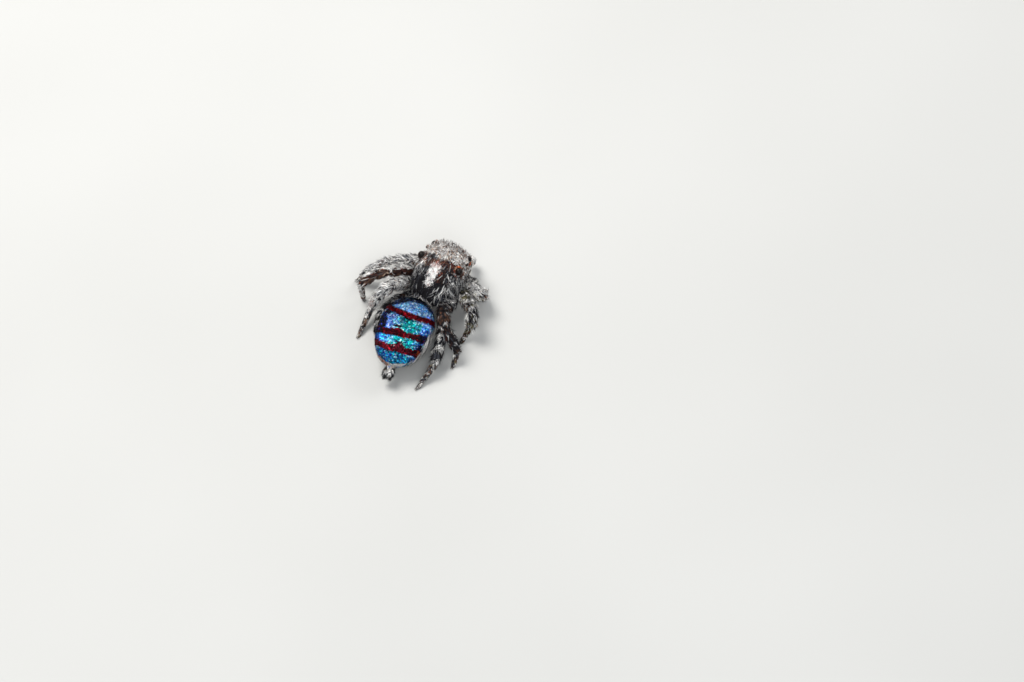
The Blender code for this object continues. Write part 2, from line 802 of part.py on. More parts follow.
def make_abdomen():
    frame = abdomen_frame()
    floor = abdomen_shell("floor", PLATE_THICK)
    floor_room = abdomen_shell("floor_room", PLATE_THICK + GAP)
    bar_floor = abdomen_shell("bar_floor", BAR_DEPTH)
    bar_floor_room = abdomen_shell("bar_floor_room", BAR_DEPTH + GAP)

    above = block((-2, -2, FAN_EDGE), (2, 2, 2), "above")
    plate = cut(common(abdomen_shell("fan_plate", 0.0, "blue_scales"), above), floor)
    for number, bar in enumerate(BARS, start=1):
        name = f"fan_bar_{number}"
        slab = bar_slab(bar, "slab")
        piece = cut(common(abdomen_shell(name, 0.0, "red_scales"), slab), bar_floor)
        groove = cut(bar_slab(bar, "groove", GAP), bar_floor_room)
        cut(plate, groove)
        place(piece, frame)
        drop(slab, groove)

    core = abdomen_shell("abdomen")
    plate_room = cut(block((-2, -2, FAN_EDGE - GAP), (2, 2, 2), "plate_room"), floor_room)
    cut(core, plate_room)
    drop(above, plate_room)
    for sign, label in ((1, "left"), (-1, "right")):
        window = flap_window(sign, "window")
        flap = cut(common(abdomen_shell(f"fan_flap_{label}", 0.0, "white_hair"), window), floor)
        flap_room = cut(flap_window(sign, "flap_room", GAP), floor_room)
        cut(core, flap_room)
        place(flap, frame)
        drop(window, flap_room)
    drop(floor, floor_room, bar_floor, bar_floor_room)
    place(plate, frame)
    place(core, frame)
    make_spinnerets(frame)
    make_waist()


FLAP_ROWS = 9
FLAP_ROW_HEIGHTS = (-0.12, -0.22)
FLAP_STAGGER = 0.09  # how far behind the upper row's locks those of the lower row start
FLAP_LOCK = (0.38, 0.11, 0.10)  # length, width, lift


def dress_flaps():
    """Long white hair that lies back along the folded flaps."""
    frame = abdomen_frame()
    turned = frame.to_3x3()
    for sign, label in ((1, "left"), (-1, "right")):
        coat = Coat(bpy.data.objects[f"fan_flap_{label}"])
        for row in range(FLAP_ROWS):
            y = FLAP_HALF_LENGTH * (1.55 * (row + 0.3) / FLAP_ROWS - 0.95)
            for tier, height in enumerate(FLAP_ROW_HEIGHTS):
                middle = Vector((0, y + FLAP_STAGGER * tier, height))
                coat.grow(frame @ middle, turned @ Vector((sign, 0, 0)), turned @ Vector((0, 1, 0)), *FLAP_LOCK)
        coat.finish()


# Spinnerets: side, how far out, tip's height, radius
SPINNERETS = ((0.075, 0.30, -0.14, 0.055), (0.080, 0.27, 0.02, 0.050))


def make_spinnerets(frame):
    """A short hub behind the abdomen with two pairs of cones."""
    rear = Vector((0, ABDOMEN_HALF.y, -0.10))
    base = [rear + Vector((0, behind, 0)) for behind in (-0.16, 0.02, 0.10)]
    hub = lofted(tube_rings(base, (0.19, 0.17, 0.11), 10), "spinnerets", "dark_cuticle")
    cones = []
    for side, reach, height, radius in SPINNERETS:
        for sign in (1, -1):
            start = rear + Vector((sign * side, 0.0, height / 2))
            stop = rear + Vector((sign * side * 1.2, reach, height))
            path = [start.lerp(stop, share) for share in (0.0, 0.55, 1.0)]
            cones.append(lofted(tube_rings(path, (radius, radius, 0.3 * radius), 8), "cone"))
    united(hub, cones)
    hub.data.materials.clear()
    hub.data.materials.append(finish_of("dark_cuticle"))
    room = abdomen_shell("room", -GAP)
    cut(hub, room)
    drop(room)
    place(hub, frame)


def make_waist():
    start = Vector((0, 0.02, WAIST_HEIGHT))
    stop = Vector((0.0, 0.40, WAIST_HEIGHT + 0.02))
    path = [start.lerp(stop, share) for share in (0.0, 0.3, 0.7, 1.0)]
    waist = lofted(tube_rings(path, (0.11, 0.10, 0.10, 0.11), 10), "pedicel", "dark_cuticle")
    room = place(abdomen_shell("room", -GAP), abdomen_frame())
    carapace_room = place(carapace_shell("carapace_room", GAP), prosoma_frame())
    cut(waist, room, carapace_room)
    drop(room, carapace_room)


def settle():
    """Moves everything so that the origin is under the middle of the box, then writes metres."""
    low = Vector((1e9, 1e9, 1e9))
    high = -low
    pieces = [obj for obj in bpy.data.objects if obj.type == "MESH"]
    for obj in pieces:
        for vert in obj.data.vertices:
            low = Vector(map(min, low, vert.co))
            high = Vector(map(max, high, vert.co))
    shift = Vector((-(low.x + high.x) / 2, -(low.y + high.y) / 2, -low.z))
    for obj in pieces:
        place(obj, Matrix.Scale(MM, 4) @ Matrix.Translation(shift))
        obj.data.shade_smooth()
        obj.data.set_sharp_from_angle(angle=math.radians(40))
    print("moved by", tuple(round(v, 3) for v in shift), "mm")


def main():
    clear_scene()
    make_head()
    make_legs()
    make_mouthparts()
    make_abdomen()
    dress_carapace()
    dress_legs()
    dress_flaps()
    dress_palps()
    settle()


main()
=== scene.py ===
# %% [markdown]
# # A male peacock spider at life size
# The spider is only about five millimetres long, and a dense coat of scales and hairs makes nearly all
# of its look. Under the coat lies one smooth skin. So the plan is: one skin, then the bare pieces
# (lenses, jaws, claws), then the coat, which is grown on the skin by formulas.
# Shapes are worked out in millimetres, because that is how a maker thinks of such a small animal, and
# written in metres at the end.

# %% Load the frame
import math

import bpy
import numpy as np
from mathutils import Matrix, Vector
from mathutils.kdtree import KDTree


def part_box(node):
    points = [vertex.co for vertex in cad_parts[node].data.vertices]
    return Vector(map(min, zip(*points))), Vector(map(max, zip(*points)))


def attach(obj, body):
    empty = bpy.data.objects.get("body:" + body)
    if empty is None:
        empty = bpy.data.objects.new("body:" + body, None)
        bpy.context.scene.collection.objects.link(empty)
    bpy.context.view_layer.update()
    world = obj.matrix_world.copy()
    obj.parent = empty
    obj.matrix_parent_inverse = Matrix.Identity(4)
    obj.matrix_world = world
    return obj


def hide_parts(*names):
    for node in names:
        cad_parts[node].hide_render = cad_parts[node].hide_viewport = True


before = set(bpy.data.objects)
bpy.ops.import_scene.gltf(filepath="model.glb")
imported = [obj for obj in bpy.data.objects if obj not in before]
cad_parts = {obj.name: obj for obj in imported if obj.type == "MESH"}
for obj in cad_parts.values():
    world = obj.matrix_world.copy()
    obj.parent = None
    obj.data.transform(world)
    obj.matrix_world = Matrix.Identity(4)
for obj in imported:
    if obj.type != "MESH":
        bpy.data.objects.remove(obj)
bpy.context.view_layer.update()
bpy.ops.object.select_all(action="DESELECT")

# %% [markdown]
# ## Sizes
# These are the driving sizes of the solids, so that the skin lies just inside them. The prosoma is the
# front half with head and legs, the abdomen is the rear half that carries the fan.

# %% Sizes of the body, in millimetres
MM = 0.001
PROSOMA_LENGTH = 1.936
PROSOMA_WIDTH = 1.54
CARAPACE_MARGIN = 0.74
STERNUM_FLOOR = 0.42
ABDOMEN_HALF = Vector((0.86, 1.17, 0.56))
ABDOMEN_MIDDLE = Vector((0.17, 1.30, 0.86))
COAT_DEPTH = 0.035
FLOOR_CLEARANCE = 0.004
FAR_AWAY = 9.0
# For each kind of eye: distance from the middle, share of the length, height and radius
EYES = {
    "front_middle": (0.235, 0.955, 1.16, 0.200),
    "front_side": (0.580, 0.915, 1.23, 0.115),
    "small_side": (0.685, 0.770, 1.36, 0.050),
    "rear_side": (0.650, 0.560, 1.47, 0.120),
}
HEAD = Matrix.Rotation(math.radians(-11), 4, "Z")
ABDOMEN = (
    Matrix.Translation(ABDOMEN_MIDDLE)
    @ Matrix.Rotation(math.radians(-3), 4, "Z")
    @ Matrix.Rotation(math.radians(-10), 4, "X")
)


def carried(points, matrix):
    """Moves an array of points by a matrix."""
    m = np.array(matrix)
    return points @ m[:3, :3].T + m[:3, 3]


def brought_back(points, matrix):
    """Moves an array of points back by a matrix."""
    return carried(points, matrix.inverted())


def eye_middle(kind, sign):
    side, share, height, _ = EYES[kind]
    return HEAD @ Vector((sign * side, -share * PROSOMA_LENGTH, height))


low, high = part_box("eye_front_middle_left")
SHIFT = np.array((low + high) / 2) / MM - np.array(eye_middle("front_middle", 1))
print("the solids were moved by", SHIFT.round(3), "mm")

# %% [markdown]
# ## Legs as paths
# Each leg is a bent path: root, hip, knee, end of the patella, ankle, root of the tarsus and tip. A curve
# with its own radius at each point makes a smooth limb that swells and narrows as real ones do.

# %% Paths and radii of the legs
HIP_SHARE = {1: 0.69, 2: 0.535, 3: 0.38, 4: 0.225}
HIP_HEADING = {1: 24, 2: 4, 3: -14, 4: -40}
HIP_ROOT = 0.24
HIP_HEIGHT = 0.57
COXA_LENGTH = 0.50
PATELLA_SHARE = {1: 0.42, 2: 0.42, 3: 0.36, 4: 0.36}
PATELLA_BLEND = 0.40
TARSUS_SHARE = 0.58
STANCE = {
    "1_left": ((1.27, -1.16, 0.82), (2.10, -0.64, 0.44), (2.34, -0.62)),
    "2_left": ((1.30, -0.53, 1.10), (2.03, -0.10, 0.72), (1.92, -0.02)),
    "3_left": ((0.98, 0.02, 1.28), (1.50, 0.38, 0.46), (1.64, 1.34)),
    "4_left": ((1.04, 0.50, 0.55), (1.06, 1.15, 0.33), (0.82, 1.80)),
    "1_right": ((-1.44, -0.78, 0.88), (-1.52, -1.12, 0.40), (-1.43, -1.40)),
    "2_right": ((-1.57, 0.03, 1.03), (-1.58, 0.20, 0.42), (-1.38, 0.60)),
    "3_right": ((-0.79, 0.52, 1.30), (-1.48, 1.18, 0.44), (-1.44, 1.52)),
    "4_right": ((-0.84, 0.60, 0.66), (-0.98, 1.84, 0.42), (-0.66, 2.60)),
}
SEGMENTS = ("coxa", "femur", "patella", "tibia", "metatarsus", "tarsus")
GIRTH = {
    "coxa": ((0.0, 0.125), (0.5, 0.14), (0.80, 0.13)),
    "femur": ((0.15, 0.15), (0.30, 0.19), (0.60, 0.205), (0.88, 0.175)),
    "patella": ((0.15, 0.165), (0.5, 0.185), (0.88, 0.16)),
    "tibia": ((0.14, 0.145), (0.5, 0.165), (0.86, 0.14)),
    "metatarsus": ((0.12, 0.115), (0.5, 0.115), (0.9, 0.10)),
    "tarsus": ((0.12, 0.09), (0.5, 0.095), (0.85, 0.08)),
}
JOINT_GIRTH = (0.125, 0.125, 0.15, 0.14, 0.115, 0.08, 0.055)


def leg_points(leg):
    """The seven joints of one leg."""
    pair, label = int(leg[0]), leg[2:]
    sign = 1 if label == "left" else -1
    root = HEAD @ Vector((sign * HIP_ROOT, -HIP_SHARE[pair] * PROSOMA_LENGTH, HIP_HEIGHT))
    angle = math.radians(HIP_HEADING[pair])
    heading = HEAD.to_3x3() @ Vector((sign * math.cos(angle), -math.sin(angle), 0))
    hip = root + heading * COXA_LENGTH
    knee, ankle, tip = (Vector((*place, 0)[:3]) for place in STANCE[leg])
    shin = ankle - knee
    bent = (knee - hip).normalized().lerp(shin.normalized(), 1 - PATELLA_BLEND).normalized()
    patella_end = knee + PATELLA_SHARE[pair] * shin.length * bent
    tarsus_root = ankle.lerp(tip, TARSUS_SHARE) - Vector((0, 0, 0.06 * ankle.z))
    return [root, hip, knee, patella_end, ankle, tarsus_root, tip]


LEGS = {leg: leg_points(leg) for leg in STANCE}
reaches = [(joints[-1] - joints[0]).length for joints in LEGS.values()]
print("legs:", len(LEGS), "mean reach", round(sum(reaches) / len(reaches), 2), "mm")

# %% [markdown]
# ## The skin
# A voxel remesh turns overlapping simple bodies into one closed surface, which is the quickest way to
# get a body with no seams. The carapace and abdomen start as balls whose points are moved onto a
# profile, limbs as curves with a round bevel.

# %% Profiles
CARAPACE_STATIONS = np.array((
    (0.00, 0.26, 0.82), (0.06, 0.50, 0.97), (0.18, 0.80, 1.23), (0.34, 0.97, 1.50), (0.50, 1.00, 1.65),
    (0.64, 1.00, 1.68), (0.80, 0.97, 1.63), (0.92, 0.92, 1.54), (0.98, 0.85, 1.47), (1.00, 0.76, 1.40),
))


CARAPACE_POWER = 2 / 2.7
FAN_POWER = 2.15
FAN_NARROWING = 0.07


def signed_power(value, power):
    """A power that keeps the sign, which turns a round outline into a fuller one."""
    return np.sign(value) * np.abs(value) ** power


def carapace_profile(p):
    """Moves the points of a unit ball, poles on Y, onto the carapace, in its own frame."""
    share = np.clip(0.5 - 0.53 * p[:, 1], 0, 1)
    wide = np.interp(share, CARAPACE_STATIONS[:, 0], CARAPACE_STATIONS[:, 1])
    top = np.interp(share, CARAPACE_STATIONS[:, 0], CARAPACE_STATIONS[:, 2])
    ring = np.hypot(p[:, 0], p[:, 2])
    close = np.minimum(1, ring * 3.2)
    turn = np.arctan2(p[:, 2], p[:, 0])
    half = wide * PROSOMA_WIDTH / 2 - COAT_DEPTH
    base = CARAPACE_MARGIN + 0.02 + 0.10 * np.clip((share - 0.8) / 0.2, 0, 1)
    x = close * half * signed_power(np.cos(turn), CARAPACE_POWER)
    rise = signed_power(np.sin(turn), CARAPACE_POWER)
    z = np.where(rise > 0, base + close * rise * (top - COAT_DEPTH - base), base + 0.10 * close * rise)
    y = -share * (PROSOMA_LENGTH - 2 * COAT_DEPTH) - COAT_DEPTH
    return carried(np.stack([x, y, z], 1), HEAD)


def sternum_profile(p):
    """The breast plate, as a flat oval cushion between the hips."""
    x = 0.36 * signed_power(p[:, 0], 0.8)
    y = -(0.47 - 0.41 * p[:, 1]) * PROSOMA_LENGTH
    z = 0.62 + np.where(p[:, 2] > 0, 0.2, 0.62 - STERNUM_FLOOR) * signed_power(p[:, 2], 0.6)
    return carried(np.stack([x, y, z], 1), HEAD)


def abdomen_profile(p, inset=COAT_DEPTH):
    """A rounded box, a little narrower behind, as long as the fan."""
    narrow = 1 - FAN_NARROWING * p[:, 1]
    ring = np.hypot(p[:, 0], p[:, 2])
    turn = np.arctan2(p[:, 2], p[:, 0])
    power = 2 / FAN_POWER
    half = np.array(ABDOMEN_HALF) - inset
    x = half[0] * narrow * ring ** power * signed_power(np.cos(turn), power)
    z = half[2] * ring ** power * signed_power(np.sin(turn), power)
    return carried(np.stack([x, half[1] * p[:, 1], z], 1), ABDOMEN)


# %% [markdown]
# ### Raw shapes
# A ball whose points move onto a profile gives each half of the body, and a curve with a round bevel
# gives each limb. Both are closed, which the remesh needs.

# %% Helpers for raw shapes
def activate(*objects):
    """Selects only these objects and makes the first one active."""
    bpy.ops.object.select_all(action="DESELECT")
    for obj in objects:
        obj.select_set(True)
    bpy.context.view_layer.objects.active = objects[0]


def mesh_points(obj):
    flat = np.empty(len(obj.data.vertices) * 3)
    obj.data.vertices.foreach_get("co", flat)
    return flat.reshape(-1, 3)


def set_points(obj, points):
    obj.data.vertices.foreach_set("co", np.asarray(points, float).ravel())
    obj.data.update()


def shaped_ball(name, profile, segments=64, rings=48):
    """A unit ball with its poles on the Y axis, each point moved onto a profile."""
    bpy.ops.mesh.primitive_uv_sphere_add(segments=segments, ring_count=rings, radius=1)
    obj = bpy.context.object
    obj.name = name
    p = mesh_points(obj)
    set_points(obj, profile(np.stack([p[:, 0], p[:, 2], -p[:, 1]], 1)))
    return obj


def limb(name, points, radii, sides=5):
    """A closed round limb along a path, made as a curve with a radius at each point."""
    curve = bpy.data.curves.new(name, "CURVE")
    curve.dimensions = "3D"
    curve.bevel_depth = 1
    curve.bevel_resolution = sides
    curve.use_fill_caps = True
    spline = curve.splines.new("POLY")
    spline.points.add(len(points) - 1)
    for point, place, radius in zip(spline.points, points, radii):
        point.co = (*place, 1)
        point.radius = radius
    obj = bpy.data.objects.new(name, curve)
    bpy.context.scene.collection.objects.link(obj)
    activate(obj)
    bpy.ops.object.convert(target="MESH")
    return bpy.context.object


def leg_path(leg, inset=COAT_DEPTH):
    """Points and radii along one leg, a coat's depth inside the solids."""
    joints = LEGS[leg]
    places, radii = [], []
    for index, segment in enumerate(SEGMENTS):
        places.append(joints[index])
        radii.append(JOINT_GIRTH[index])
        for share, radius in GIRTH[segment]:
            if share > 0:
                places.append(joints[index].lerp(joints[index + 1], share))
                radii.append(radius)
    places.append(joints[-1] + Vector((0, 0, 0.03)))
    radii.append(JOINT_GIRTH[-1])
    return places, [max(0.028, radius - inset * min(1, radius / 0.12)) for radius in radii]


# %% [markdown]
# ### Palps, eye mounds, waist and spinnerets
# Palps are the short feelers beside the jaws. Each lens of a real spider sits on a low mound, so small
# balls swell the skin there. All of them are raw shapes that the remesh will melt together.

# %% Palps and waist
def palp_path(sign):
    """The short feeler beside the jaws, with its swollen last joint."""
    places = (
        (0.20, 0.84, 0.60), (0.40, 0.90, 0.58), (0.52, 0.99, 0.62), (0.52, 1.10, 0.68), (0.49, 1.18,
                                                                                         0.62),
        (0.46, 1.215, 0.50), (0.43, 1.21, 0.37), (0.41, 1.19, 0.27),
    )
    if sign < 0:
        places = (
            (0.20, 0.84, 0.58), (0.38, 0.90, 0.54), (0.45, 0.98, 0.55), (0.43, 1.08, 0.58), (0.41, 1.15,
                                                                                             0.53),
            (0.39, 1.18, 0.43), (0.37, 1.175, 0.33), (0.36, 1.16, 0.25),
        )
    radii = (0.085, 0.09, 0.095, 0.105, 0.10, 0.13, 0.12, 0.06)
    points = [HEAD @ Vector((sign * x, -share * PROSOMA_LENGTH, z)) for x, share, z in places]
    return points, [radius - 0.6 * COAT_DEPTH for radius in radii]


PARTS = {"carapace": shaped_ball("carapace_form", carapace_profile)}
PARTS["sternum"] = shaped_ball("sternum_form", sternum_profile, 32, 24)
PARTS["abdomen"] = shaped_ball("abdomen_form", abdomen_profile)
waist_line = [(0, -0.1, 0.72), (0.0, 0.2, 0.71), (0.0, 0.45, 0.72)]
PARTS["waist"] = limb("waist_form", waist_line, (0.12, 0.10, 0.12))
for leg in LEGS:
    PARTS["leg_" + leg] = limb("leg_form_" + leg, *leg_path(leg))
for sign, label in ((1, "left"), (-1, "right")):
    PARTS["palp_" + label] = limb("palp_form_" + label, *palp_path(sign))
for kind, (side, share, height, radius) in EYES.items():
    for sign in (1, -1):
        inner = Vector((0, -share * PROSOMA_LENGTH, height - 0.3 * radius))
        middle = Vector((sign * side, -share * PROSOMA_LENGTH, height))
        if kind == "front_middle":
            inner = middle + Vector((0, 1, 0))
        if kind == "rear_side":
            inner = middle + Vector((-0.75 * sign, -0.35, -1.0))
        inward = (inner - middle).normalized()
        swell, sunk = (1.14, 0.42) if kind == "rear_side" else (0.98, 0.42)
        bpy.ops.mesh.primitive_uv_sphere_add(segments=24, ring_count=16, radius=swell * radius)
        mound = bpy.context.object
        set_points(mound, mesh_points(mound) + np.array(HEAD @ (middle + sunk * radius * inward)))
        PARTS[f"mound_{kind}_{'left' if sign > 0 else 'right'}"] = mound
rear = Vector((0, ABDOMEN_HALF.y - 0.06, -0.10))
SPINNERETS = ((0.075, 0.30, -0.14, 0.055), (0.080, 0.27, 0.02, 0.050))
for number, (side, reach, height, radius) in enumerate(SPINNERETS):
    for sign in (1, -1):
        path = [rear + Vector((sign * side * 0.7, -0.05, height / 2)),
                rear + Vector((sign * side * 1.05, 0.6 * reach, 0.75 * height)),
                rear + Vector((sign * side * 1.2, reach, height))]
        key = f"spinneret_{number}_{'left' if sign > 0 else 'right'}"
        PARTS[key] = limb(key + "_form", [ABDOMEN @ p for p in path],
                          (1.3 * radius, radius, 0.5 * radius))
print("raw shapes under the skin:", len(PARTS))

# %% [markdown]
# ### One skin over all of them
# Before they are joined, the points of each shape go into a search tree with the name of their part, so
# that the finished skin still knows where it is leg and where it is head.

# %% Join, remesh and smooth
VOXEL = 0.026
PART_NAMES = list(PARTS)
label_points, label_ids = [], []
for name in PART_NAMES:
    if name.startswith(("leg", "palp", "spin", "waist")):
        modifier = PARTS[name].modifiers.new("finer", "SUBSURF")
        modifier.subdivision_type = "SIMPLE"
        modifier.levels = modifier.render_levels = 1
        bpy.context.view_layer.objects.active = PARTS[name]
        bpy.ops.object.modifier_apply(modifier="finer")
    label_points.append(mesh_points(PARTS[name]))
    owner = "carapace" if name.startswith("mound") else name
    label_ids.append(np.full(len(label_points[-1]), PART_NAMES.index(owner)))
label_points, label_ids = np.concatenate(label_points), np.concatenate(label_ids)

skin = PARTS["carapace"]
activate(*PARTS.values())
bpy.ops.object.join()
skin.name = skin.data.name = "skin"
remesh = skin.modifiers.new("one_surface", "REMESH")
remesh.mode = "VOXEL"
remesh.voxel_size = VOXEL
smooth = skin.modifiers.new("soften", "SMOOTH")
smooth.factor = 0.5
smooth.iterations = 5
for modifier in ("one_surface", "soften"):
    bpy.ops.object.modifier_apply(modifier=modifier)
print("skin:", len(skin.data.vertices), "points,", len(skin.data.polygons), "faces")

# %% [markdown]
# ### Parts of the skin
# The remesh forgets which shape a point came from. The nearest labelled point tells it again.

# %% Which part each point of the skin belongs to
tree = KDTree(len(label_points))
for index, point in enumerate(label_points):
    tree.insert(point, index)
tree.balance()
skin_points = mesh_points(skin)
skin_points[:, 2] = np.maximum(skin_points[:, 2], FLOOR_CLEARANCE)
set_points(skin, skin_points)
skin_part = np.array([label_ids[tree.find(point)[1]] for point in skin_points])
flat = np.empty(len(skin_points) * 3)
skin.data.vertices.foreach_get("normal", flat)
skin_normals = flat.reshape(-1, 3)
for name in ("carapace", "abdomen", "leg_3_left"):
    print(name, int((skin_part == PART_NAMES.index(name)).sum()), "points")

# %% [markdown]
# ## Markings
# Skin and coat share one set of markings, so that a gap between hairs never shows a foreign colour.
# A marking is a recipe: how much of each pigment a spot holds. The coat draws one pigment for each hair
# by chance with those weights, which gives the salt-and-pepper look, and the skin takes their mean.

# %% Pigments, as linear colours
PIGMENTS = {
    "white": (0.90, 0.88, 0.85), "silver": (0.50, 0.50, 0.50), "grey": (0.20, 0.20, 0.20),
    "slate": (0.055, 0.06, 0.075), "black": (0.006, 0.005, 0.007), "tan": (0.42, 0.30, 0.22),
    "brown": (0.13, 0.065, 0.04), "rust": (0.26, 0.045, 0.02), "orange": (0.75, 0.17, 0.03),
    "olive": (0.16, 0.14, 0.06), "rose": (0.66, 0.48, 0.44), "azure": (0.04, 0.27, 1.0),
    "deep": (0.006, 0.025, 0.26), "violet": (0.08, 0.12, 0.72), "lilac": (0.38, 0.56, 1.0),
    "teal": (0.002, 0.24, 0.23), "cyan": (0.008, 0.50, 0.54), "ice": (0.40, 0.90, 0.92),
    "red": (0.26, 0.004, 0.008), "crimson": (0.085, 0.002, 0.008), "maroon": (0.075, 0.022, 0.018),
    "snow": (0.97, 0.95, 0.92),
}
PIGMENT_NAMES = list(PIGMENTS)
PIGMENT_TABLE = np.array([PIGMENTS[name] for name in PIGMENT_NAMES])


def recipe(**amounts):
    """A row of pigment weights that sums to one."""
    row = np.zeros(len(PIGMENT_NAMES))
    for name, amount in amounts.items():
        row[PIGMENT_NAMES.index(name)] = amount
    return row / row.sum()


def step(low_edge, high_edge, value):
    """A soft step from 0 to 1 between two edges."""
    t = np.clip((value - low_edge) / (high_edge - low_edge), 0, 1)
    return t * t * (3 - 2 * t)


def patch(x, y, middle, half, edge=0.35):
    """1 inside an oval, 0 outside, soft over the edge share."""
    r = np.hypot((x - middle[0]) / half[0], (y - middle[1]) / half[1])
    return 1 - step(1 - edge, 1 + edge, r)


def spread_over(weights, mask, row):
    """Lays a recipe over the weights where the mask is 1."""
    return weights * (1 - mask[:, None]) + mask[:, None] * row


def laid(weights, mask, **amounts):
    """The same, with the amounts of the recipe."""
    return spread_over(weights, mask, recipe(**amounts))


def everywhere(count, **amounts):
    """One recipe for each of many spots."""
    return np.tile(recipe(**amounts), (count, 1))


print("pigments:", len(PIGMENTS))

# %% [markdown]
# ### Markings of the carapace
# Seen from above: a grey-brown speckled dome between the eyes, a dark red-brown band behind it, a white
# streak down the middle, black flanks with long grey hair, and orange scales round the eyes.

# %% Carapace recipe
def eye_rings(points, reach=0.075):
    """How close a point is to a lens's rim: 1 at the rim, 0 past the reach, for each kind of eye."""
    rings = {}
    for kind in EYES:
        nearest = np.full(len(points), FAR_AWAY)
        for sign in (1, -1):
            far = np.linalg.norm(points - np.array(eye_middle(kind, sign)), axis=1) - EYES[kind][3]
            nearest = np.minimum(nearest, far)
        rings[kind] = 1 - step(0.35 * reach, reach, nearest)
    return rings


def streak_mask(x, share, grow=0.0):
    """1 on the white streak down the middle of the thorax, which narrows to the rear."""
    wide = 0.085 + 0.24 * np.clip(share - 0.20, 0, 0.3) + grow
    middle = 0.06 - 0.20 * np.clip(share - 0.18, 0, 0.4)
    length = step(0.20 - grow, 0.25 - grow, share) * step(0.535 + grow, 0.50 + grow, share)
    return step(wide + 0.015, wide - 0.015, np.abs(x - middle)) * length


def carapace_marks(points):
    """Pigment weights on the carapace. Share runs from the rear edge, 0, to the face, 1."""
    local = brought_back(points, HEAD)
    x, share, z = local[:, 0], -local[:, 1] / PROSOMA_LENGTH, local[:, 2]
    weights = everywhere(len(points), black=8, slate=3, grey=1, brown=1)
    dome = step(0.60, 0.66, share + 0.03 * np.cos(9 * x))
    weights = laid(weights, dome, silver=4, white=3.6, grey=1.6, tan=2.2, brown=2.2, black=2.2)
    crease = 0.555 - 0.10 * x + 0.10 * np.clip(-x - 0.45, 0, 1)
    band = np.exp(-(((share - crease) / 0.042) ** 2)) * (z > 1.2)
    weights = laid(weights, np.clip(1.25 * band, 0, 1), maroon=7, brown=3, black=2.5, rust=0.8, tan=0.6)
    flank = step(1.22, 1.05, z) * step(0.25, 0.4, share)
    ahead = step(0.42, 0.55, share)
    weights = laid(weights, 0.8 * flank * ahead * (x > 0), white=5, silver=4, grey=2, black=2)
    weights = laid(weights, 0.7 * flank * (x < 0), white=2.4, silver=2, grey=2, olive=1.2, black=6)
    rear = step(0.40, 0.24, share)
    weights = laid(weights, rear, black=14, slate=0.8)
    beside = patch(x, share, (-0.26, 0.42), (0.12, 0.13))
    weights = laid(weights, 0.85 * beside, black=5, brown=4, rust=1)
    shoulder = patch(x, share, (0.60, 0.50), (0.22, 0.10), 0.5)
    weights = laid(weights, 0.7 * shoulder, silver=4, white=2.4, grey=3, tan=2.2, brown=2, black=2)
    for place, size, strength in (((0.56, 0.41), (0.15, 0.09), 0.9), ((-0.62, 0.46), (0.12, 0.08), 0.5)):
        mark = patch(x, share, place, size, 0.5)
        weights = laid(weights, strength * mark, snow=4, silver=4, grey=1, black=1.5)
    weights = laid(weights, streak_mask(x, share), snow=5, white=4, silver=2.2, rose=1.2)
    pink = patch(x, share, (0.03, 0.515), (0.17, 0.035), 0.5)
    weights = laid(weights, 0.8 * pink, rose=5, snow=3, rust=0.8)
    face = step(0.955, 0.985, share)
    weights = laid(weights, face, white=4, silver=2, rust=1.5, tan=2)
    rings = eye_rings(points)
    above = 0.45 + 0.55 * step(-0.05, 0.10, z - 1.47)
    warm = step(0.1, -0.1, x) * step(0.565, 0.615, share)
    rear_ring = rings["rear_side"] * above
    weights = laid(weights, rear_ring, brown=6, black=2.5, maroon=4, rust=2.5, tan=1.6)
    weights = laid(weights, rear_ring * warm, orange=8, rust=5, brown=2)
    for kind in ("front_middle", "front_side"):
        weights = laid(weights, rings[kind], orange=4, rust=3, tan=2, white=1)
    return weights


# %% [markdown]
# ### Markings of the fan
# The plate on the abdomen carries shingled scales that shimmer from violet and azure at its edges to
# teal in the middle, crossed by three deep red bars. Black ends and a black patch lie beside the bars.

# %% Fan and abdomen recipe
# Distance behind the middle, half thickness, bow, slant; forward bump, its half span and its place
BARS = (
    (-0.395, 0.082, -0.26, -0.06, 0.02, 0.30, 0.0),
    (0.280, 0.074, -0.20, 0.075, 0.10, 0.20, 0.08),
    (0.730, 0.072, -0.28, 0.008, 0.11, 0.15, -0.12),
)


def bar_mask(x, y):
    """1 on the red bars, 0 elsewhere, with a short edge."""
    mask = np.zeros(len(x))
    out = x / ABDOMEN_HALF.x
    for behind, half, bow, slant, bump, span, bump_at in BARS:
        line = behind + bow * out ** 2 + slant * out
        rise = bump * np.exp(-(((x - bump_at) / span) ** 2))
        front, back = line - rise - half, line - 0.35 * rise + half
        mask = np.maximum(mask, step(-0.012, 0.012, y - front) * step(-0.012, 0.012, back - y))
    return mask


def rim_distance(x, y):
    """Share of the way from the middle of the fan, 0, to its rim, 1."""
    narrow = 1 - FAN_NARROWING * y / ABDOMEN_HALF.y
    across = np.abs(x / (ABDOMEN_HALF.x * narrow)) ** FAN_POWER
    return (across + np.abs(y / ABDOMEN_HALF.y) ** FAN_POWER) ** (1 / FAN_POWER)


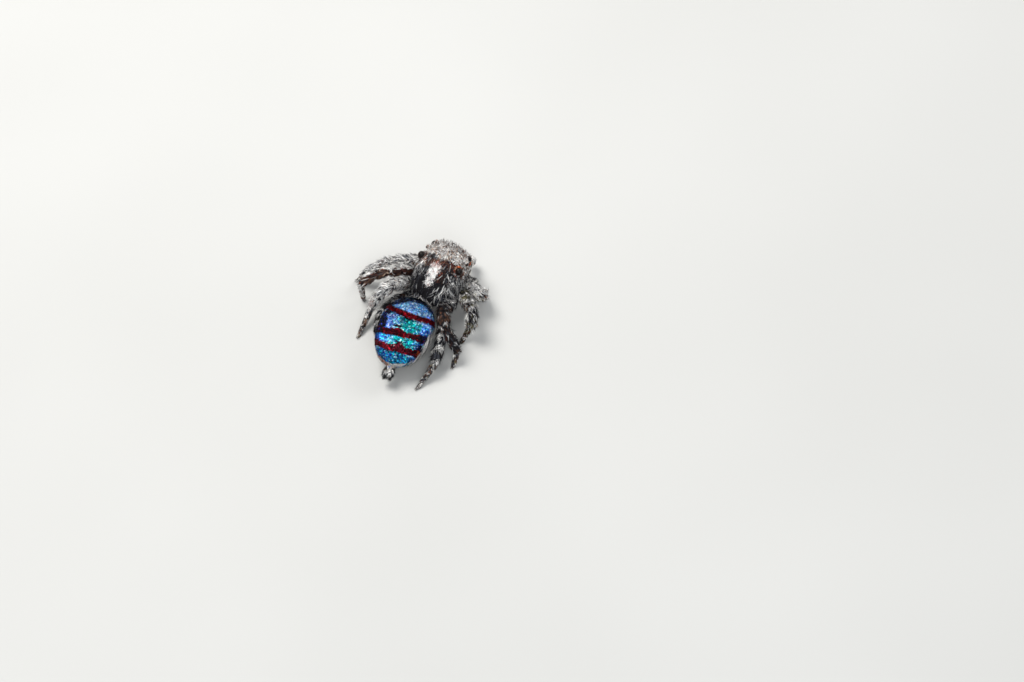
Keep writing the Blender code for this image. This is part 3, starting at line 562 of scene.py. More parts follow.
def abdomen_marks(points):
    """Pigment weights on the abdomen: x to its left, y to its rear, both from the middle of the fan."""
    local = brought_back(points, ABDOMEN)
    x, y, z = local.T
    rim = rim_distance(x, y)
    weights = everywhere(len(points), white=4, silver=3.5, grey=2, tan=1)
    flank = step(-0.70, -0.74, x) * step(-0.50, -0.40, y) * (z > -0.36)
    weights = laid(weights, 0.9 * flank, slate=5, grey=4, black=3, silver=1)
    below = step(-0.28, -0.42, z)
    weights = laid(weights, below, grey=4, silver=3, tan=2, slate=1.5)
    # The front of the abdomen, towards the waist, is painted nearly black: painted shade in the gap
    # behind the thorax.
    front = step(-0.28, -0.52, y)
    weights = laid(weights, 0.95 * front, black=12, slate=2.4, grey=0.8, silver=0.5)
    low = 0.12 * step(0.45, 0.85, y)
    plate = step(-0.03 - low, 0.03 - low, z)
    # The pale ice scales in the blue and teal are partly painted glints: scales painted pale as if they
    # caught the light.
    blue = everywhere(len(points), azure=10, violet=1.6, lilac=9.0, cyan=2.0, ice=1.8)
    middle = np.exp(-((x + 0.22) / 0.44) ** 2)
    second = step(-0.34, -0.26, y) * step(0.26, 0.18, y)
    third = step(0.26, 0.34, y) * step(0.74, 0.66, y)
    teal = recipe(teal=6, cyan=2.4, ice=0.5, azure=0.2, deep=1.2, black=2.0)
    blue = spread_over(blue, np.clip(1.25 * middle * (0.9 * second + third), 0, 1), teal)
    left = step(0.22, 0.38, x) * second
    blue = laid(blue, 0.85 * left, violet=5, lilac=2.2, azure=3, deep=3)
    blue = laid(blue, 0.9 * step(0.24, 0.42, x) * third, azure=4.0, deep=5.4, violet=1.4, cyan=1.6)
    ends = step(0.48, 0.66, np.abs(x)) * (second + third)
    blue = laid(blue, np.clip(0.75 * ends, 0, 1), deep=6, azure=2, violet=1.5, black=0.6)
    tail = step(0.70, 0.80, y)
    blue = laid(blue, 0.95 * tail, deep=7.5, azure=1.3, cyan=1.3, ice=0.2, teal=3.2, black=3.2)
    weights = weights * (1 - plate[:, None]) + plate[:, None] * blue
    dark = recipe(black=9, deep=1, crimson=0.4)
    # The front face ahead of the plate is painted black as well: painted shade behind the thorax.
    front_edge = -0.95 + 0.58 * np.clip(x, 0, 1) + 0.55 * np.clip(-x - 0.30, 0, 1)
    ahead = step(front_edge + 0.03, front_edge - 0.03, y) * step(-0.15, -0.05, z)
    weights = laid(weights, 0.92 * ahead, black=9, deep=1.2, slate=2)
    beside = plate * patch(x, y, (0.70, 0.00), (0.21, 0.33), 0.22)
    weights = laid(weights, beside, black=14, deep=0.7)
    for place, size in (
        ((0.60, -0.40), (0.13, 0.09)), ((-0.60, 0.18), (0.18, 0.10)),
        ((0.12, 0.03), (0.16, 0.05)), ((-0.08, 0.50), (0.12, 0.045)), ((-0.70, 0.42), (0.07, 0.14)),
        ((-0.10, -0.29), (0.30, 0.025)),
    ):
        weights = spread_over(weights, plate * patch(x, y, place, size, 0.4), dark)
    hidden = step(-0.785, -0.825, x) * step(-0.35, -0.15, y)
    weights = laid(weights, 0.9 * plate * hidden, slate=4, black=4, grey=3)
    bars = bar_mask(x, y) * plate * (1 - 0.9 * hidden)
    weights = laid(weights, bars, red=4.4, crimson=7, black=1.6, rust=0.1)
    weights = laid(weights, bars * step(0.0, 0.25, y), red=0.6, crimson=8, black=5.5)
    warm = bars * step(-0.62, -0.74, x) * (y > 0.4)
    weights = laid(weights, 0.75 * warm, orange=5, red=4)
    second_bar = bars * (np.abs(y - 0.16) < 0.24)
    black_end = second_bar * np.maximum(step(-0.48, -0.56, x), step(0.50, 0.57, x))
    weights = spread_over(weights, 0.95 * black_end, dark)
    ahead_right = 0.7 * step(-0.15, -0.35, x) * step(-1.0, -0.9, y)
    edge = step(0.955, 0.985, rim) * step(-0.25, -0.02, z) * step(0.95, 0.80, y)
    edge = edge * np.maximum(step(-0.45, -0.30, y), ahead_right)
    edge = edge * (1 - hidden)
    weights = laid(weights, edge, white=5, silver=3, tan=1.5)
    back = step(0.93, 0.99, y) * step(0.93, 0.98, rim) * (z > -0.25)
    brown = np.maximum(step(0.10, 0.20, x), 0.25)
    weights = laid(weights, 0.9 * back * brown, tan=3, rust=2.4, orange=2, white=3)
    tip = step(1.10, 1.15, y) * step(0.16, 0.10, np.abs(x))
    return laid(weights, tip, snow=6, silver=2, tan=1, black=1.5)


print("bars on the fan:", len(BARS))

# %% [markdown]
# ### Markings of the legs
# The upper sides are speckled white, grey and black. The rear face of each thigh is bare and red-brown.
# The hind legs are ringed in white and black, and the feet are dark with a white down.

# %% Leg recipe
def leg_place(points, leg):
    """Joints passed so far, direction towards the foot and outward vector of each point."""
    joints = np.array(LEGS[leg])
    best = np.full(len(points), FAR_AWAY)
    segment = np.zeros(len(points), int)
    share = np.zeros(len(points))
    axis_point = np.zeros((len(points), 3))
    for index in range(len(SEGMENTS)):
        start, stop = joints[index], joints[index + 1]
        along = stop - start
        t = np.clip((points - start) @ along / (along @ along), 0, 1)
        near = start + t[:, None] * along
        far = np.linalg.norm(points - near, axis=1)
        closer = far < best
        best[closer], segment[closer], share[closer] = far[closer], index, t[closer]
        axis_point[closer] = near[closer]
    ahead = np.diff(joints, axis=0)
    ahead /= np.linalg.norm(ahead, axis=1)[:, None]
    turn = step(0.7, 1.3, share)[:, None] * 0.5
    following = np.minimum(segment + 1, len(SEGMENTS) - 1)
    direction = ahead[segment] * (1 - turn) + ahead[following] * turn
    early = (0.5 - step(-0.3, 0.3, share))[:, None].clip(0)
    direction = direction * (1 - early) + ahead[np.maximum(segment - 1, 0)] * early
    direction /= np.linalg.norm(direction, axis=1)[:, None]
    outward = points - axis_point
    outward /= np.linalg.norm(outward, axis=1)[:, None] + 1e-9
    return segment + share, direction, outward


def leg_marks(points, leg):
    """Pigment weights on a leg. A position of 2.5 is halfway along its third segment."""
    position, _, outward = leg_place(points, leg)
    pair = int(leg[0])
    weights = everywhere(len(points), snow=1.8, white=3.6, silver=2.4, grey=1.5, slate=1.8, black=5.4,
                         tan=0.4)
    if leg in ("2_left", "3_left"):
        weights = everywhere(len(points), snow=4.6, white=4.8, silver=2.2, grey=1, slate=1.2, black=3.6,
                             tan=0.4)
    # The second to fourth right legs get darker, mostly black recipes: painted shade on the side away
    # from the light.
    if leg.endswith("right"):
        rows = {
            1: recipe(snow=1.2, white=4.2, silver=2.2, grey=1.6, slate=2.0, black=4.2, olive=0.6),
            2: recipe(white=2.2, silver=1.7, grey=1.4, slate=2.2, black=6, olive=2.0),
            3: recipe(white=0.5, silver=0.5, grey=0.6, slate=2.0, brown=2, black=12),
            4: recipe(white=1.0, silver=1.0, grey=1.0, slate=2.6, black=11),
        }
        weights = np.tile(rows[pair], (len(points), 1))
    if leg == "3_right":
        near = step(1.75, 1.45, position)
        weights = laid(weights, near, snow=1.4, white=1.6, silver=2, grey=2, slate=3, black=6)
    if leg == "4_left":
        near = step(2.4, 1.8, position)
        weights = laid(weights, near, black=10, slate=3, grey=1, silver=0.6, brown=1)
    under = step(-0.1, -0.6, outward[:, 2])
    weights = laid(weights, 0.8 * under, grey=3, silver=2, brown=2, tan=1.5, black=1)
    bare = bare_faces(points, leg)
    horn = recipe(brown=4.6, maroon=2.6, rust=0.4, black=7, tan=0.3)
    # The bare cuticle of the third right leg is painted nearly black: painted shade.
    if leg == "3_right":
        horn = recipe(brown=1.8, maroon=0.4, black=12, slate=1.2, silver=0.5)
    weights = spread_over(weights, bare, horn)
    if pair == 4:
        ring = 0.5 + 0.5 * np.sin(2 * math.pi * (position - 1.30) / 0.62)
        ringed = step(1.2, 1.5, position) * step(4.9, 4.6, position)
        pale = ringed * step(0.45, 0.75, ring)
        weights = laid(weights, pale, snow=3, white=1.2, silver=1.8, grey=1, black=5)
        weights = laid(weights, ringed * step(0.75, 0.45, ring), black=9, slate=3, grey=0.8, white=0.5)
    # A pale rose band before the foot: partly the pale cuticle there, partly a painted highlight for its
    # gloss.
    if leg == "3_left":
        tip = np.exp(-(((position - 3.74) / 0.26) ** 2))
        weights = laid(weights, 0.98 * tip, snow=7, silver=1.2, rose=2.6)
    if leg in ("1_right", "2_right"):
        olive = np.exp(-(((position - 3.4) / 0.30) ** 2))
        weights = laid(weights, 0.5 * olive, olive=4, tan=2, black=3)
    foot_start = 4.0 if leg == "3_left" else 3.85
    feet = step(foot_start, foot_start + 0.25, position)
    return laid(weights, feet * 0.9, black=4, brown=3, slate=2, white=1.6, silver=1.2, olive=0.8)


BARE_SHARE = {
    "1_left": 0.15, "2_left": 1.0, "3_left": 0.2, "4_left": 0.3,
    "1_right": 0.12, "2_right": 0.15, "3_right": 0.8, "4_right": 0.12,
}


def bare_faces(points, leg):
    """1 where the cuticle lies bare: the rear faces of the thighs, and most of the third right leg, in
    painted shade.
    """
    position, _, outward = leg_place(points, leg)
    behind = outward[:, 1] + 0.25 * outward[:, 2]
    mask = step(-0.05, 0.25, behind) * step(0.8, 1.0, position) * step(4.0, 3.8, position)
    mask = mask * BARE_SHARE[leg]
    # The third right leg is bared over its top and rear, so that its dark cuticle gives painted shade.
    if leg == "3_right":
        past_root = step(1.5, 1.8, position)
        back_or_top = step(-0.3, 0.0, outward[:, 1] + outward[:, 2])
        mask = np.maximum(mask * past_root, 0.62 * past_root * back_or_top)
    return mask


def other_marks(points, name):
    """Pigment weights on the small parts, which have one recipe each."""
    rows = {
        "sternum": recipe(black=4, brown=3, grey=3, silver=1.5),
        "waist": recipe(black=5, brown=3, grey=1),
        "palp": recipe(white=6, silver=3, grey=1.5, tan=1, black=0.8),
        "spinneret": recipe(black=11, slate=2.4, silver=0.4),
    }
    return np.tile(rows[name.split("_")[0]], (len(points), 1))


def marks(points, part_ids):
    """Pigment weights for points with known parts."""
    weights = np.zeros((len(points), len(PIGMENT_NAMES)))
    for index, name in enumerate(PART_NAMES):
        on = part_ids == index
        if not on.any():
            continue
        if name == "carapace":
            weights[on] = carapace_marks(points[on])
        elif name == "abdomen":
            weights[on] = abdomen_marks(points[on])
        elif name.startswith("leg_"):
            weights[on] = leg_marks(points[on], name[4:])
        else:
            weights[on] = other_marks(points[on], name)
    return weights


skin_weights = marks(skin_points, skin_part)
print("mean skin colour", (skin_weights @ PIGMENT_TABLE).mean(0).round(3))

# %% [markdown]
# ## Finishes
# All coats read the colour of each hair from the attribute named tint. The gloss differs: hair is satin,
# the white fringe has a soft sheen, fan scales are thin films that glint like metal, the cuticle is
# smooth horn.

# %% Material helpers
def material(name, roughness, metallic=0.0, **sockets):
    """A new material with its node tree and its shader."""
    made = bpy.data.materials.new(name)
    made.use_nodes = True
    shader = made.node_tree.nodes["Principled BSDF"]
    shader.inputs["Roughness"].default_value = roughness
    shader.inputs["Metallic"].default_value = metallic
    for socket, value in sockets.items():
        shader.inputs[socket.replace("_", " ")].default_value = value
    return made, made.node_tree, shader


def object_noise(tree, scale, detail, low_value, high_value):
    """Noise on Object coordinates, remapped to a range, and the same noise as it is."""
    where = tree.nodes.new("ShaderNodeTexCoord")
    noise = tree.nodes.new("ShaderNodeTexNoise")
    noise.inputs["Scale"].default_value = scale
    noise.inputs["Detail"].default_value = detail
    tree.links.new(where.outputs["Object"], noise.inputs["Vector"])
    spread = tree.nodes.new("ShaderNodeMapRange")
    spread.inputs["From Min"].default_value = 0.3
    spread.inputs["From Max"].default_value = 0.7
    spread.inputs["To Min"].default_value = low_value
    spread.inputs["To Max"].default_value = high_value
    tree.links.new(noise.outputs["Fac"], spread.inputs["Value"])
    return spread.outputs["Result"], noise.outputs["Fac"]


def tinted(tree, shader, factor):
    """Base colour from the tint attribute, times a factor."""
    tint = tree.nodes.new("ShaderNodeAttribute")
    tint.attribute_name = "tint"
    scaled = tree.nodes.new("ShaderNodeVectorMath")
    scaled.operation = "SCALE"
    tree.links.new(tint.outputs["Color"], scaled.inputs[0])
    tree.links.new(factor, scaled.inputs["Scale"])
    tree.links.new(scaled.outputs["Vector"], shader.inputs["Base Color"])


def two_tone(tree, shader, factor, dark, light):
    """Base colour between a dark and a light one, by a factor."""
    ramp = tree.nodes.new("ShaderNodeValToRGB")
    ramp.color_ramp.elements[0].color = (*dark, 1)
    ramp.color_ramp.elements[1].color = (*light, 1)
    tree.links.new(factor, ramp.inputs["Fac"])
    tree.links.new(ramp.outputs["Color"], shader.inputs["Base Color"])


def bumped(tree, shader, height, strength, distance):
    """Fine relief from a height, in metres."""
    bump = tree.nodes.new("ShaderNodeBump")
    bump.inputs["Strength"].default_value = strength
    bump.inputs["Distance"].default_value = distance
    tree.links.new(height, bump.inputs["Height"])
    tree.links.new(bump.outputs["Normal"], shader.inputs["Normal"])


# %% [markdown]
# ### The four coats
# Hair is rough and hardly shines, fan scales are nearly metal, the white fringe has a soft sheen, and
# the bare skin gets a fine grain as a bump. One helper makes them all, since only numbers differ.

# %% Skin, hair and scale materials
def coat_look(name, noise, *finish, **sockets):
    """A material that reads the tint, made lighter and darker by fine noise."""
    made, tree, shader = material(name, *finish, **sockets)
    factor, raw = object_noise(tree, *noise)
    tinted(tree, shader, factor)
    return made, tree, shader, raw


skin_look, tree, shader, raw = coat_look("cuticle_skin", (9000, 4, 0.55, 1.1), 0.38)
bumped(tree, shader, raw, 0.5, 0.00002)
hair_look = coat_look("grey_hair", (12000, 2, 0.88, 1.12), 0.58, Specular_IOR_Level=0.16)[0]
fan_look = coat_look("fan_scale", (24000, 2, 0.35, 1.6), 0.34, 0.76, Specular_IOR_Level=0.12)[0]
soft_gloss = {"Specular_IOR_Level": 0.3, "Sheen_Weight": 0.06, "Sheen_Roughness": 0.35}
white_look = coat_look("white_fringe", (12000, 2, 0.9, 1.08), 0.48, **soft_gloss)[0]
print("coat materials:", skin_look.name, hair_look.name, fan_look.name, white_look.name)

# %% [markdown]
# ### Painting the skin
# The colours go into an attribute of the points, which costs no image and survives every export. The
# skin is painted darker than the coat, as the ground between hairs lies in shade.

# %% Paint the skin
def set_tint(mesh, colours):
    """Stores a colour for each point of a mesh."""
    attribute = mesh.attributes.new("tint", "FLOAT_COLOR", "POINT")
    rgba = np.ones((len(mesh.vertices), 4), np.float32)
    rgba[:, :3] = colours
    attribute.data.foreach_set("color", rgba.ravel())


UNDERCOAT = 0.30
BARE_HORN = np.array((0.040, 0.016, 0.011))
skin_colours = skin_weights @ PIGMENT_TABLE * UNDERCOAT
for leg in LEGS:
    on = skin_part == PART_NAMES.index("leg_" + leg)
    bare = bare_faces(skin_points[on], leg)[:, None]
    # The third right leg's bare cuticle is painted darker still: painted shade.
    depth = 0.45 if leg == "3_right" else 1.0
    skin_colours[on] = skin_colours[on] * (1 - bare) + bare * depth * BARE_HORN
set_tint(skin.data, skin_colours)
skin.data.materials.clear()
skin.data.materials.append(skin_look)
activate(skin)
bpy.ops.object.shade_smooth()
print("painted the skin")

# %% [markdown]
# ## Growing the coat
# A hair is a blade of a few faces: it starts a little inside the skin, rises, bends over and ends in a
# point. Thousands of them are written as one mesh from arrays, which is far quicker than adding them
# one by one. Roots are drawn by chance from the skin's triangles, more where the coat is dense.

# %% Roots on the skin
skin.data.calc_loop_triangles()
flat = np.empty(len(skin.data.loop_triangles) * 3, int)
skin.data.loop_triangles.foreach_get("vertices", flat)
TRIS = flat.reshape(-1, 3)
corners = skin_points[TRIS]
sides = np.cross(corners[:, 1] - corners[:, 0], corners[:, 2] - corners[:, 0])
TRI_AREA = np.linalg.norm(sides, axis=1) / 2
SEED = 7
EYE_CLEARANCE = 1.03
chance = np.random.default_rng(SEED)
EYE_BALLS = [(np.array(eye_middle(kind, sign)), EYES[kind][3]) for kind in EYES for sign in (1, -1)]


def roots_on(part_prefix, density):
    """Random points on the skin of some parts: places, normals, part ids. Density is per square mm."""
    ids = [i for i, name in enumerate(PART_NAMES) if name.startswith(part_prefix)]
    tri = np.flatnonzero(np.isin(skin_part[TRIS[:, 0]], ids))
    area = TRI_AREA[tri]
    count = int(area.sum() * density)
    pick = tri[np.searchsorted(np.cumsum(area) / area.sum(), chance.random(count)).clip(0, len(tri) - 1)]
    a, b = chance.random((2, count))
    over = a + b > 1
    a[over], b[over] = 1 - a[over], 1 - b[over]
    share = np.stack([1 - a - b, a, b], 1)
    places = (skin_points[TRIS[pick]] * share[:, :, None]).sum(1)
    normals = (skin_normals[TRIS[pick]] * share[:, :, None]).sum(1)
    normals /= np.linalg.norm(normals, axis=1)[:, None]
    free = np.ones(count, bool)
    for middle, radius in EYE_BALLS:
        free &= np.linalg.norm(places - middle, axis=1) > radius * EYE_CLEARANCE
    return places[free], normals[free], skin_part[TRIS[pick[free], 0]]


def kept(mask, *arrays):
    """The same arrays with only the entries where the mask is true."""
    return [array[mask] for array in arrays]


print("skin area", round(TRI_AREA.sum(), 1), "square mm")

# %% [markdown]
# ### One blade
# Three or four rows of points give a blade its bend and its taper. Hairs of one cell lean together,
# since a real coat parts into tufts.

# %% Blades
def unit(v):
    """Vectors of length one."""
    return v / (np.linalg.norm(v, axis=-1, keepdims=True) + 1e-12)


ROOT_DEPTH = 0.012
# Rows of a blade: share of the length, share of the width, share of the lift
SHAPES = {
    "hair": ((0.0, 0.75, 0.0), (0.32, 1.0, 0.62), (0.68, 0.70, 0.95)),
    "scale": ((0.0, 0.55, 0.0), (0.45, 1.0, 0.75), (0.86, 0.72, 1.0)),
}
CELL_PRIMES = (73856093, 19349663, 83492791)


def cell_hash(key, primes):
    """A whole number for each cell that looks random but is always the same."""
    return (key[:, 0] * primes[0]) ^ (key[:, 1] * primes[1]) ^ (key[:, 2] * primes[2])


def tufts(places, normals, lie, length, width, lift, shape, roll, clump, cell=0.12, curl=0.25):
    """Points and faces of blades: length, width and lift in mm for each root.

    Roll turns blades at random, clump draws the tips of one cell together, curl bends them.
    """
    count = len(places)
    key = np.floor(places / cell).astype(np.int64)
    mixed = cell_hash(key, CELL_PRIMES)
    bunch = np.stack([((mixed >> shift) % 997) / 498.5 - 1 for shift in (0, 7, 13)], 1)
    middle = (key + 0.5 + 0.3 * bunch) * cell
    lie = unit(lie) + clump * (middle - places) / cell + 0.35 * clump * bunch
    lie = unit(lie - (lie * normals).sum(1)[:, None] * normals)
    across = np.cross(normals, lie)
    angle = chance.normal(0, roll, count)[:, None]
    lie = unit(lie + 0.5 * angle * across)
    across = np.cross(normals, lie)
    lean = chance.normal(0, 1.4 * roll, count)[:, None]
    flat_across = unit(across + lean * normals)
    sway = chance.normal(0, curl, count)[:, None] * length[:, None]
    rows = []
    for share, wide, raised in SHAPES[shape]:
        centre = places + share * length[:, None] * lie + (share ** 2) * sway * across
        centre = centre + (raised * lift[:, None] - (ROOT_DEPTH if share == 0 else 0)) * normals
        rows.append(centre - 0.5 * wide * width[:, None] * flat_across)
        rows.append(centre + 0.5 * wide * width[:, None] * flat_across)
    if shape == "hair":
        rows.append(places + length[:, None] * lie + sway * across + lift[:, None] * normals)
        faces = ((0, 1, 3), (0, 3, 2), (2, 3, 5), (2, 5, 4), (4, 5, 6))
    else:
        faces = ((0, 1, 3), (0, 3, 2), (2, 3, 5), (2, 5, 4))
    points = np.stack(rows, 1)
    points[:, :, 2] = np.maximum(points[:, :, 2], FLOOR_CLEARANCE)
    return points, np.array(faces)


UV_PATCH = 0.003
UV_BORDER = 0.004
# Each hair is painted darker at the root and lighter at the tip: painted shade deep in the coat, painted
# light on the tips.
ROOT_SHADE, TIP_SHADE = 0.72, 1.08


def coat_piece(name, batches, look):
    """Writes batches of blades as one mesh with tints and a map for baking."""
    points, faces, colours, uvs = [], [], [], []
    start = 0
    for blade, pattern, tint, root_uv in batches:
        count, size = blade.shape[:2]
        points.append(blade.reshape(-1, 3))
        faces.append((pattern[None] + start + (np.arange(count) * size)[:, None, None]).reshape(-1, 3))
        shade = np.linspace(ROOT_SHADE, TIP_SHADE, size)[None, :, None]
        colours.append((tint[:, None, :] * shade).reshape(-1, 3))
        side = np.tile((-0.5, 0.5), size // 2 + 1)[:size]
        along = (np.arange(size) // 2) / (size // 2)
        local = np.stack([side, along - 0.5], 1) * UV_PATCH
        inner = UV_BORDER + (1 - 2 * UV_BORDER) * root_uv[:, None, :]
        uvs.append((inner + local[None]).reshape(-1, 2))
        start += count * size
    points, faces = np.concatenate(points), np.concatenate(faces)
    colours, uvs = np.concatenate(colours), np.concatenate(uvs)
    mesh = bpy.data.meshes.new(name)
    mesh.vertices.add(len(points))
    mesh.vertices.foreach_set("co", ((points + SHIFT) * MM).ravel())
    mesh.loops.add(faces.size)
    mesh.loops.foreach_set("vertex_index", faces.ravel())
    mesh.polygons.add(len(faces))
    mesh.polygons.foreach_set("loop_start", np.arange(0, faces.size, 3))
    mesh.polygons.foreach_set("loop_total", np.full(len(faces), 3))
    mesh.update(calc_edges=True)
    layer = mesh.uv_layers.new(name="OFBake")
    layer.data.foreach_set("uv", uvs[faces.ravel()].ravel())
    set_tint(mesh, np.clip(colours, 0, 1))
    mesh.polygons.foreach_set("use_smooth", np.ones(len(faces), bool))
    mesh.materials.append(look)
    obj = bpy.data.objects.new(name, mesh)
    bpy.context.scene.collection.objects.link(obj)
    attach(obj, "root")
    print(name, len(faces), "triangles")


TINT_PRIMES = (92837111, 689287499, 283923481)


def drawn_tints(weights, spread=0.16, places=None, cell=0.085, together=0.65, glint=0.0):
    """One pigment for each root, by chance. Roots of one cell mostly share their draw, as tufts do."""
    edges = np.cumsum(weights, 1)
    draw = chance.random(len(weights))
    bright = 1 + chance.uniform(-spread, spread, len(weights))
    if places is not None:
        key = np.floor(places / cell + 0.35 * chance.random(places.shape)).astype(np.int64)
        mixed = cell_hash(key, TINT_PRIMES)
        shared = (mixed % 10007) / 10007
        draw = np.where(chance.random(len(draw)) < together, shared, draw)
        # Glint makes whole cells brighter or darker together: painted glints, standing in for the sparkle
        # of the scales.
        bright = bright * np.exp(glint * (3.46 * ((mixed // 7) % 1009 / 1009 - 0.5)))
    draw = draw[:, None] * edges[:, -1:]
    index = (draw > edges).sum(1).clip(0, len(PIGMENT_NAMES) - 1)
    return PIGMENT_TABLE[index] * bright[:, None]


# %% [markdown]
# ### Where a root lies on an unwrap of the skin
# For baking, each blade gets a small patch of the map at its root's place. Limbs unroll like tubes and
# the two halves of the body like balls.

# %% Unwrap by part
def ball_uv(local, middle, half):
    """Longitude and latitude of points round a middle."""
    q = (local - middle) / half
    q /= np.linalg.norm(q, axis=1)[:, None] + 1e-9
    around = np.arctan2(q[:, 0], q[:, 2]) / (2 * math.pi) + 0.5
    return np.stack([around, np.arccos(q[:, 1].clip(-1, 1)) / math.pi], 1)


def root_map(points, part_ids, tile=0, tiles=1):
    """Unwrapped place of each root, between 0 and 1."""
    uv = np.zeros((len(points), 2))
    for index, name in enumerate(PART_NAMES):
        on = part_ids == index
        if not on.any():
            continue
        p = points[on]
        if name.startswith("leg_"):
            position, _, outward = leg_place(p, name[4:])
            turn = np.arctan2(outward[:, 2], outward[:, 0] * 0.7 + outward[:, 1] * 0.7)
            uv[on] = np.stack([turn / (2 * math.pi) + 0.5, position / len(SEGMENTS)], 1)
        elif name == "abdomen" or name.startswith("spin"):
            uv[on] = ball_uv(brought_back(p, ABDOMEN), np.zeros(3), np.array(ABDOMEN_HALF))
        else:
            local = brought_back(p, HEAD)
            uv[on] = ball_uv(local, np.array((0, -0.5 * PROSOMA_LENGTH, 0.9)),
                             np.array((0.77, 1.1, 0.75)))
    uv[:, 0] = (uv[:, 0] + tile) / tiles
    return uv.clip(0, 1)


print("the map has a patch of", UV_PATCH, "for each blade")

# %% [markdown]
# ### Lie of the coat
# Hair lies back over the body and down each leg. On the face it hangs over the jaws, and round each
# eye it points away from the lens.

# %% Directions
def toward(matrix, direction, count):
    """One direction, turned by a matrix, for each of many blades."""
    turned = matrix.to_3x3() @ Vector(direction)
    return np.tile(np.array(turned), (count, 1))


def head_lie(points):
    """Back along the head, down the flanks, and away from the lenses near their rims."""
    local = brought_back(points, HEAD)
    side = np.sign(local[:, 0])
    share = -local[:, 1] / PROSOMA_LENGTH
    flank = step(0.35, 0.72, np.abs(local[:, 0]))
    lie = np.stack([0.25 * side * flank, np.ones(len(points)), -0.55 * flank], 1)
    face = step(0.95, 0.985, share)[:, None]
    down = np.stack([0.3 * local[:, 0], np.full(len(points), -0.2), -np.ones(len(points))], 1)
    lie = lie * (1 - face) + face * down
    lie = lie @ np.array(HEAD.to_3x3()).T
    for middle, radius in EYE_BALLS:
        away = points - middle
        far = np.linalg.norm(away, axis=1)
        near = (1 - step(0.02, 0.11, far - radius))[:, None] * (radius > 0.06)
        lie = lie * (1 - near) + near * away / (far[:, None] + 1e-9)
    return lie


# %% [markdown]
# ### Coat of the head
# Short hair covers the dome between the eyes, longer hair the thorax behind it, and the longest lies
# over the flanks. A brush stands over the front lenses. Each kind is a batch with its own length.

# %% Coat of the head
HEAD_DENSITY = 5200


def varied(count, value, spread=0.22):
    """A value for each of many blades, a share more or less."""
    return value * (1 + chance.uniform(-spread, spread, count))


def grown(roots, lie, length, width, lift, roll, clump, weights, **more):
    """A batch of hair on some roots: blades, tints and places on the map."""
    p, n, i = roots
    blade = tufts(p, n, lie, length, width, lift, "hair", roll, clump, **more)
    return (*blade, drawn_tints(weights), root_map(p, i))


def head_batches():
    """Short hair on the dome and longer hair on the thorax, both shorter beside the lenses."""
    places, normals, ids = roots_on("carapace", HEAD_DENSITY)
    local = brought_back(places, HEAD)
    share = -local[:, 1] / PROSOMA_LENGTH
    dome = share > 0.56
    batches = {"head": [], "thorax": []}
    for key, on in (("head", dome), ("thorax", ~dome)):
        p, n, i = kept(on, places, normals, ids)
        count = len(p)
        tint = drawn_tints(marks(p, i), 0.16, p, 0.06, 0.5)
        near_eye = np.maximum.reduce(list(eye_rings(p, 0.13).values()))
        if key == "head":
            length = varied(count, 0.105) * (1 - 0.5 * near_eye)
            width, lift = varied(count, 0.027), varied(count, 0.020)
            blade = tufts(p, n, head_lie(p), length, width, lift, "hair", 0.35, 0.35)
        else:
            length = varied(count, 0.17) * (1 - 0.72 * near_eye)
            width, lift = varied(count, 0.024), varied(count, 0.032) * (1 - 0.6 * near_eye)
            blade = tufts(p, n, head_lie(p), length, width, lift, "hair", 0.3, 0.5)
        batches[key].append((*blade, tint, root_map(p, i)))
    return batches


def long_hair_batch():
    """Long pale and black hair over the flanks and the rear slope."""
    places, normals, ids = roots_on("carapace", 560)
    local = brought_back(places, HEAD)
    x, share, z = local[:, 0], -local[:, 1] / PROSOMA_LENGTH, local[:, 2]
    clear = eye_rings(places, 0.20)["rear_side"] < 0.05
    wanted = (share < 0.60) & (streak_mask(x, share, 0.05) < 0.5) & (z > 0.74) & clear
    p, n, i, x, share = kept(wanted, places, normals, ids, x, share)
    count = len(p)
    right = step(-0.20, -0.48, x) * step(0.06, 0.22, share)
    row = everywhere(count, white=0.5, silver=0.4, grey=0.5, slate=1.6, black=15)
    row = laid(row, 0.9 * right, snow=3, silver=2.4, grey=1.6, slate=2, black=7)
    length = varied(count, 0.36, 0.35) * (0.70 + 0.45 * right)
    lie = unit(head_lie(p)) + right[:, None] * toward(HEAD, (-0.55, 0.1, -0.35), count)
    return grown((p, n, i), lie, length, varied(count, 0.012), varied(count, 0.065), 0.22, 0.35, row)


def brow_batch():
    """A brush over the front lenses, which hides their backs from above."""
    places, normals, ids = roots_on("carapace", HEAD_DENSITY)
    local = brought_back(places, HEAD)
    rings = eye_rings(places, 0.11)
    near = np.maximum.reduce([rings["front_middle"], rings["front_side"], rings["small_side"]])
    wanted = (near > 0.1) & (local[:, 2] > 1.24) & (chance.random(len(near)) < 0.62)
    p, n, i = kept(wanted, places, normals, ids)
    count = len(p)
    row = everywhere(count, white=4, silver=3, grey=2, black=2, brown=2, tan=1.5, rust=0.6)
    side = step(0.40, 0.60, np.abs(local[wanted, 0]))[:, None] * np.sign(local[wanted, 0])[:, None]
    lie = toward(HEAD, (0, -1.0, 0.35), count) + side * toward(HEAD, (0.8, 0.3, 0.1), count)
    length = varied(count, 0.12, 0.35)
    return grown((p, n, i), lie, length, varied(count, 0.013), varied(count, 0.045), 0.3, 0.0, row)


